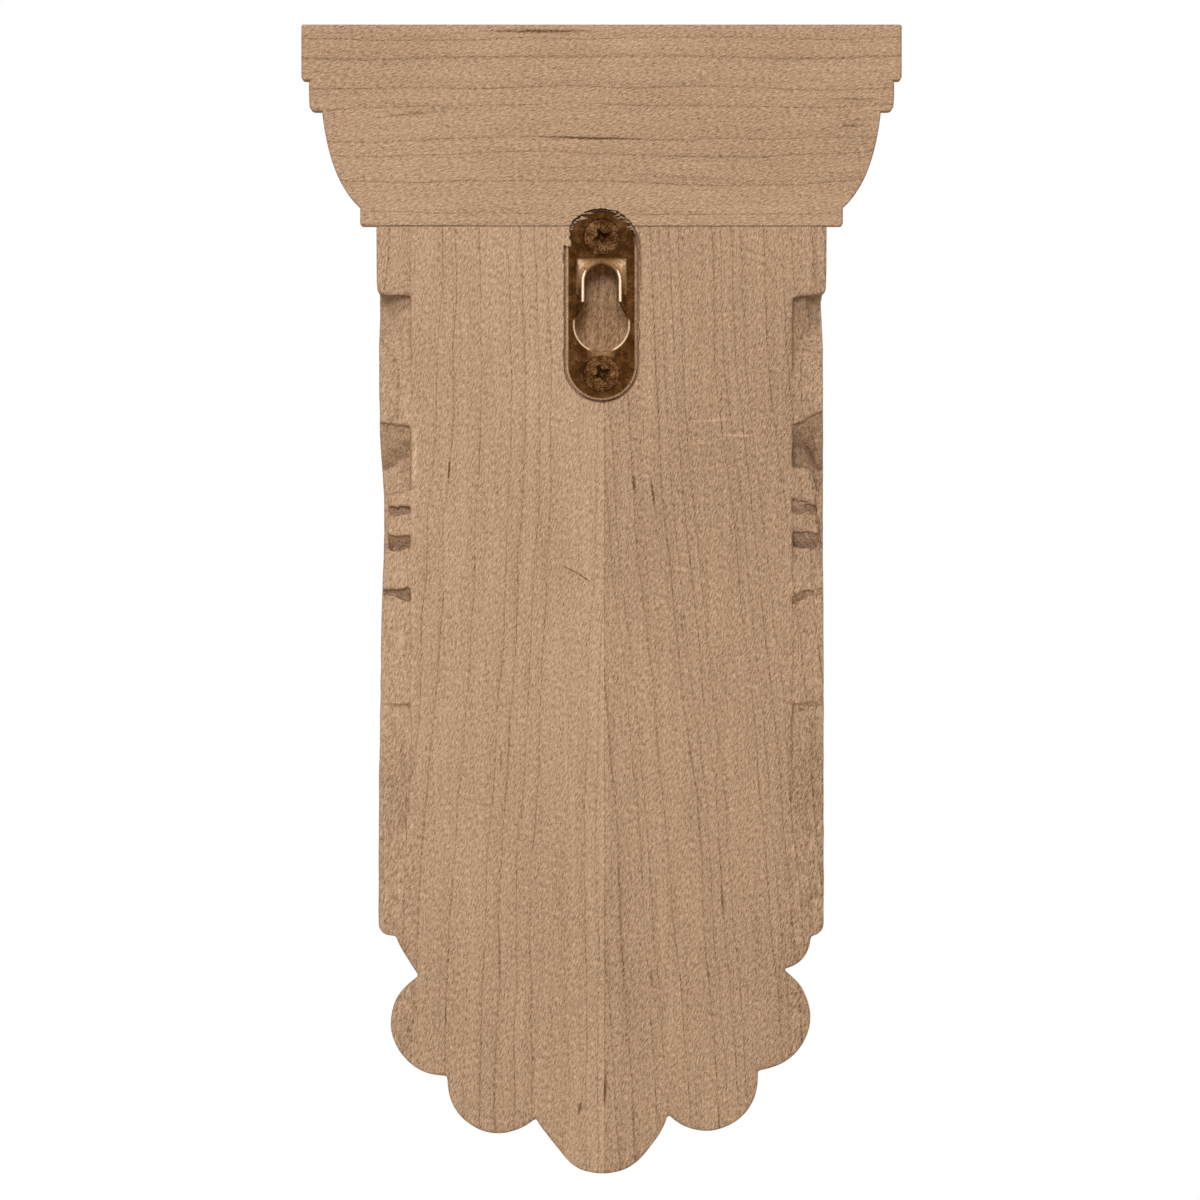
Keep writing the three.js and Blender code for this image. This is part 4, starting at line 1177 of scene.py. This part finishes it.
def screw_tree():
    tree = Tree("wood_screw", {
        "Head radius": 0.00353, "Shank radius": 0.0011, "Thread radius": 0.0014, "Length": 0.016,
        "Turn": 0.6, "Recess": 0.00275, "Height on body": 0.0})
    given = tree.given
    stops = [(0.0, 0.0, 0), (0.0, 0.965, 0), (0.0025, 0.995, 0), (0.008, 1.0, 0), (0.03, 0.99, 0),
             (0.165, 1.05, 1), (0.78, 1.0, 1), (0.97, 0.25, 1), (1.0, 0.0, 1)]
    index = tree.node("GeometryNodeInputIndex").outputs[0]
    along = tree.node("GeometryNodeIndexSwitch", data_type="FLOAT")
    wide = tree.node("GeometryNodeIndexSwitch", data_type="FLOAT")
    for switch in (along, wide):
        while len(switch.index_switch_items) < len(stops):
            switch.index_switch_items.new()
        tree.feed(switch.inputs["Index"], index)
    for n, (share, size, part) in enumerate(stops):
        along.inputs[str(n)].default_value = share
        radius = given["Shank radius"] if part else given["Head radius"]
        tree.feed(wide.inputs[str(n)], tree.math("MULTIPLY", radius, size))
    down = tree.math("MULTIPLY", tree.math("MULTIPLY", along.outputs[0], given["Length"]), -1.0)
    axis = tree.node("GeometryNodeMeshLine", {"Count": len(stops)})
    laid = tree.node("GeometryNodeSetPosition", {"Geometry": axis.outputs[0],
                                                 "Position": tree.xyz(0.0, 0.0, down)})
    curve = tree.node("GeometryNodeMeshToCurve", {"Mesh": laid.outputs[0]}).outputs[0]

    def swept(curve, radius, profile, caps):
        sized = tree.node("GeometryNodeSetCurveRadius", {"Curve": curve, "Radius": radius})
        sweep = tree.node("GeometryNodeCurveToMesh", {"Curve": sized.outputs[0],
                                                      "Profile Curve": profile, "Fill Caps": caps})
        if "Scale" in [socket.name for socket in sweep.inputs]:
            tree.feed(sweep.inputs["Scale"], radius)
        return sweep.outputs[0]

    ring = tree.node("GeometryNodeCurvePrimitiveCircle", {"Resolution": 72, "Radius": 1.0}).outputs[0]
    turned = tree.node("GeometryNodeMergeByDistance", {
        "Geometry": swept(curve, wide.outputs[0], ring, False), "Distance": 0.00001})
    wing = tree.node("GeometryNodeCurveStar", {"Points": 4, "Inner Radius": 0.00088,
                                               "Outer Radius": given["Recess"]})
    soft = tree.node("GeometryNodeFilletCurve", {"Curve": wing.outputs[0], "Radius": 0.0003,
                                                 "Count": 4}, mode="POLY")
    path = tree.node("GeometryNodeCurvePrimitiveLine", {"Start": (0, 0, 0.0005),
                                                        "End": (0, 0, -0.0021)})
    taper = tree.node("GeometryNodeSwitch", {"Switch": tree.math("GREATER_THAN", index, 0.5),
                                             "False": 1.15, "True": 0.3}, input_type="FLOAT")
    driver_hole = swept(path.outputs[0], taper.outputs[0], soft.outputs[0], True)
    driver_hole = tree.node("GeometryNodeTransform", {
        "Geometry": driver_hole, "Rotation": tree.xyz(0.0, 0.0, given["Turn"])})
    cross = tree.node("GeometryNodeMeshBoolean", {
        "Mesh 1": turned.outputs[0], "Mesh 2": driver_hole.outputs[0]},
        operation="DIFFERENCE", solver="MANIFOLD")

    coil = tree.node("GeometryNodeCurveSpiral", {
        "Resolution": 24, "Rotations": 10.0, "Height": -0.0115,
        "Start Radius": given["Shank radius"], "End Radius": given["Shank radius"]})
    ridge = tree.node("GeometryNodeCurvePrimitiveCircle", {"Resolution": 4, "Radius": 1.0}).outputs[0]
    height = tree.math("SUBTRACT", given["Thread radius"], given["Shank radius"])
    thread = swept(coil.outputs[0], height, ridge, True)
    thread = tree.node("GeometryNodeTransform", {"Geometry": thread, "Translation": (0, 0, -0.0033)})
    both = tree.node("GeometryNodeJoinGeometry")
    tree.feed(both.inputs[0], cross.outputs["Mesh"])
    tree.feed(both.inputs[0], thread.outputs[0])
    proud = 0.00003
    home = tree.node("GeometryNodeTransform", {
        "Geometry": both.outputs[0], "Rotation": (-math.pi / 2, 0, 0),
        "Translation": tree.xyz(0.0, -plate_sunk * MM + proud, given["Height on body"])})
    tree.finish(home.outputs[0], screw_steel)
    return tree


screw = screw_tree()
for name, node, z, turn in (("upper_wood_screw", "upper_screw", screw_zs[0], 0.38),
                            ("lower_wood_screw", "lower_screw", screw_zs[1], 0.45)):
    piece = put_in_scene(name, bpy.data.meshes.new(name))
    screw.put_on(piece, turn=turn, height_on_body=z * MM)
    baked(piece)
    piece.data.shade_smooth()
    piece.data.set_sharp_from_angle(angle=math.radians(35))
    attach(piece, "root")
    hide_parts(node)


# Floor and light: a pale floor well below, going over to white in the distance, and broad
# soft lights above the camera and on the far side.
floor_z = -0.45
floor_mesh = bpy.data.meshes.new("floor")
floor_mesh.from_pydata([(-1, -1, floor_z), (1, -1, floor_z), (1, 1, floor_z), (-1, 1, floor_z)], [],
                       [(0, 1, 2, 3)])
floor = put_in_scene("floor", floor_mesh)
paper = Grain("white_paper")
place = paper.node("ShaderNodeTexCoord").outputs["Object"]
away = paper.node("ShaderNodeVectorMath", {0: place}, operation="LENGTH").outputs["Value"]
fade = paper.ramp(away, [(0.0, 0.0), (0.25, 0.0), (0.95, 1.0)])
paper.feed(paper.shader.inputs["Alpha"], paper.math("SUBTRACT", 1.0, fade))
paper.shader.inputs["Base Color"].default_value = linear(232, 222, 210)
paper.shader.inputs["Roughness"].default_value = 0.9
floor.data.materials.append(paper.material)

world = bpy.data.worlds.new("studio")
bpy.context.scene.world = world
world.use_nodes = True
sky = Wiring(world.node_tree)
rays = sky.node("ShaderNodeLightPath").outputs["Is Camera Ray"]
around = sky.tree.nodes["Background"]
around.inputs["Color"].default_value = linear(255, 238, 208)
around.inputs["Strength"].default_value = 0.46
behind = sky.node("ShaderNodeBackground", {"Color": (1, 1, 1, 1)})
either = sky.node("ShaderNodeMixShader", {0: rays, 1: around.outputs[0], 2: behind.outputs[0]})
sky.feed(sky.tree.nodes["World Output"].inputs["Surface"], either.outputs[0])


def soft_light(name, place, size, watts):
    light = bpy.data.lights.new(name, "AREA")
    light.shape = "SQUARE"
    light.size = size
    light.energy = watts
    lamp = put_in_scene(name, light)
    lamp.location = place
    lamp.rotation_euler = (-Vector(place)).to_track_quat("-Z", "Y").to_euler()
    lamp.visible_camera = False


soft_light("key_light", (0.9, 1.3, 1.5), 0.4, 13)
soft_light("near_light", (0.12, 1.6, 0.55), 0.4, 13.5)
soft_light("far_light", (-0.9, -1.2, 1.1), 0.5, 25)
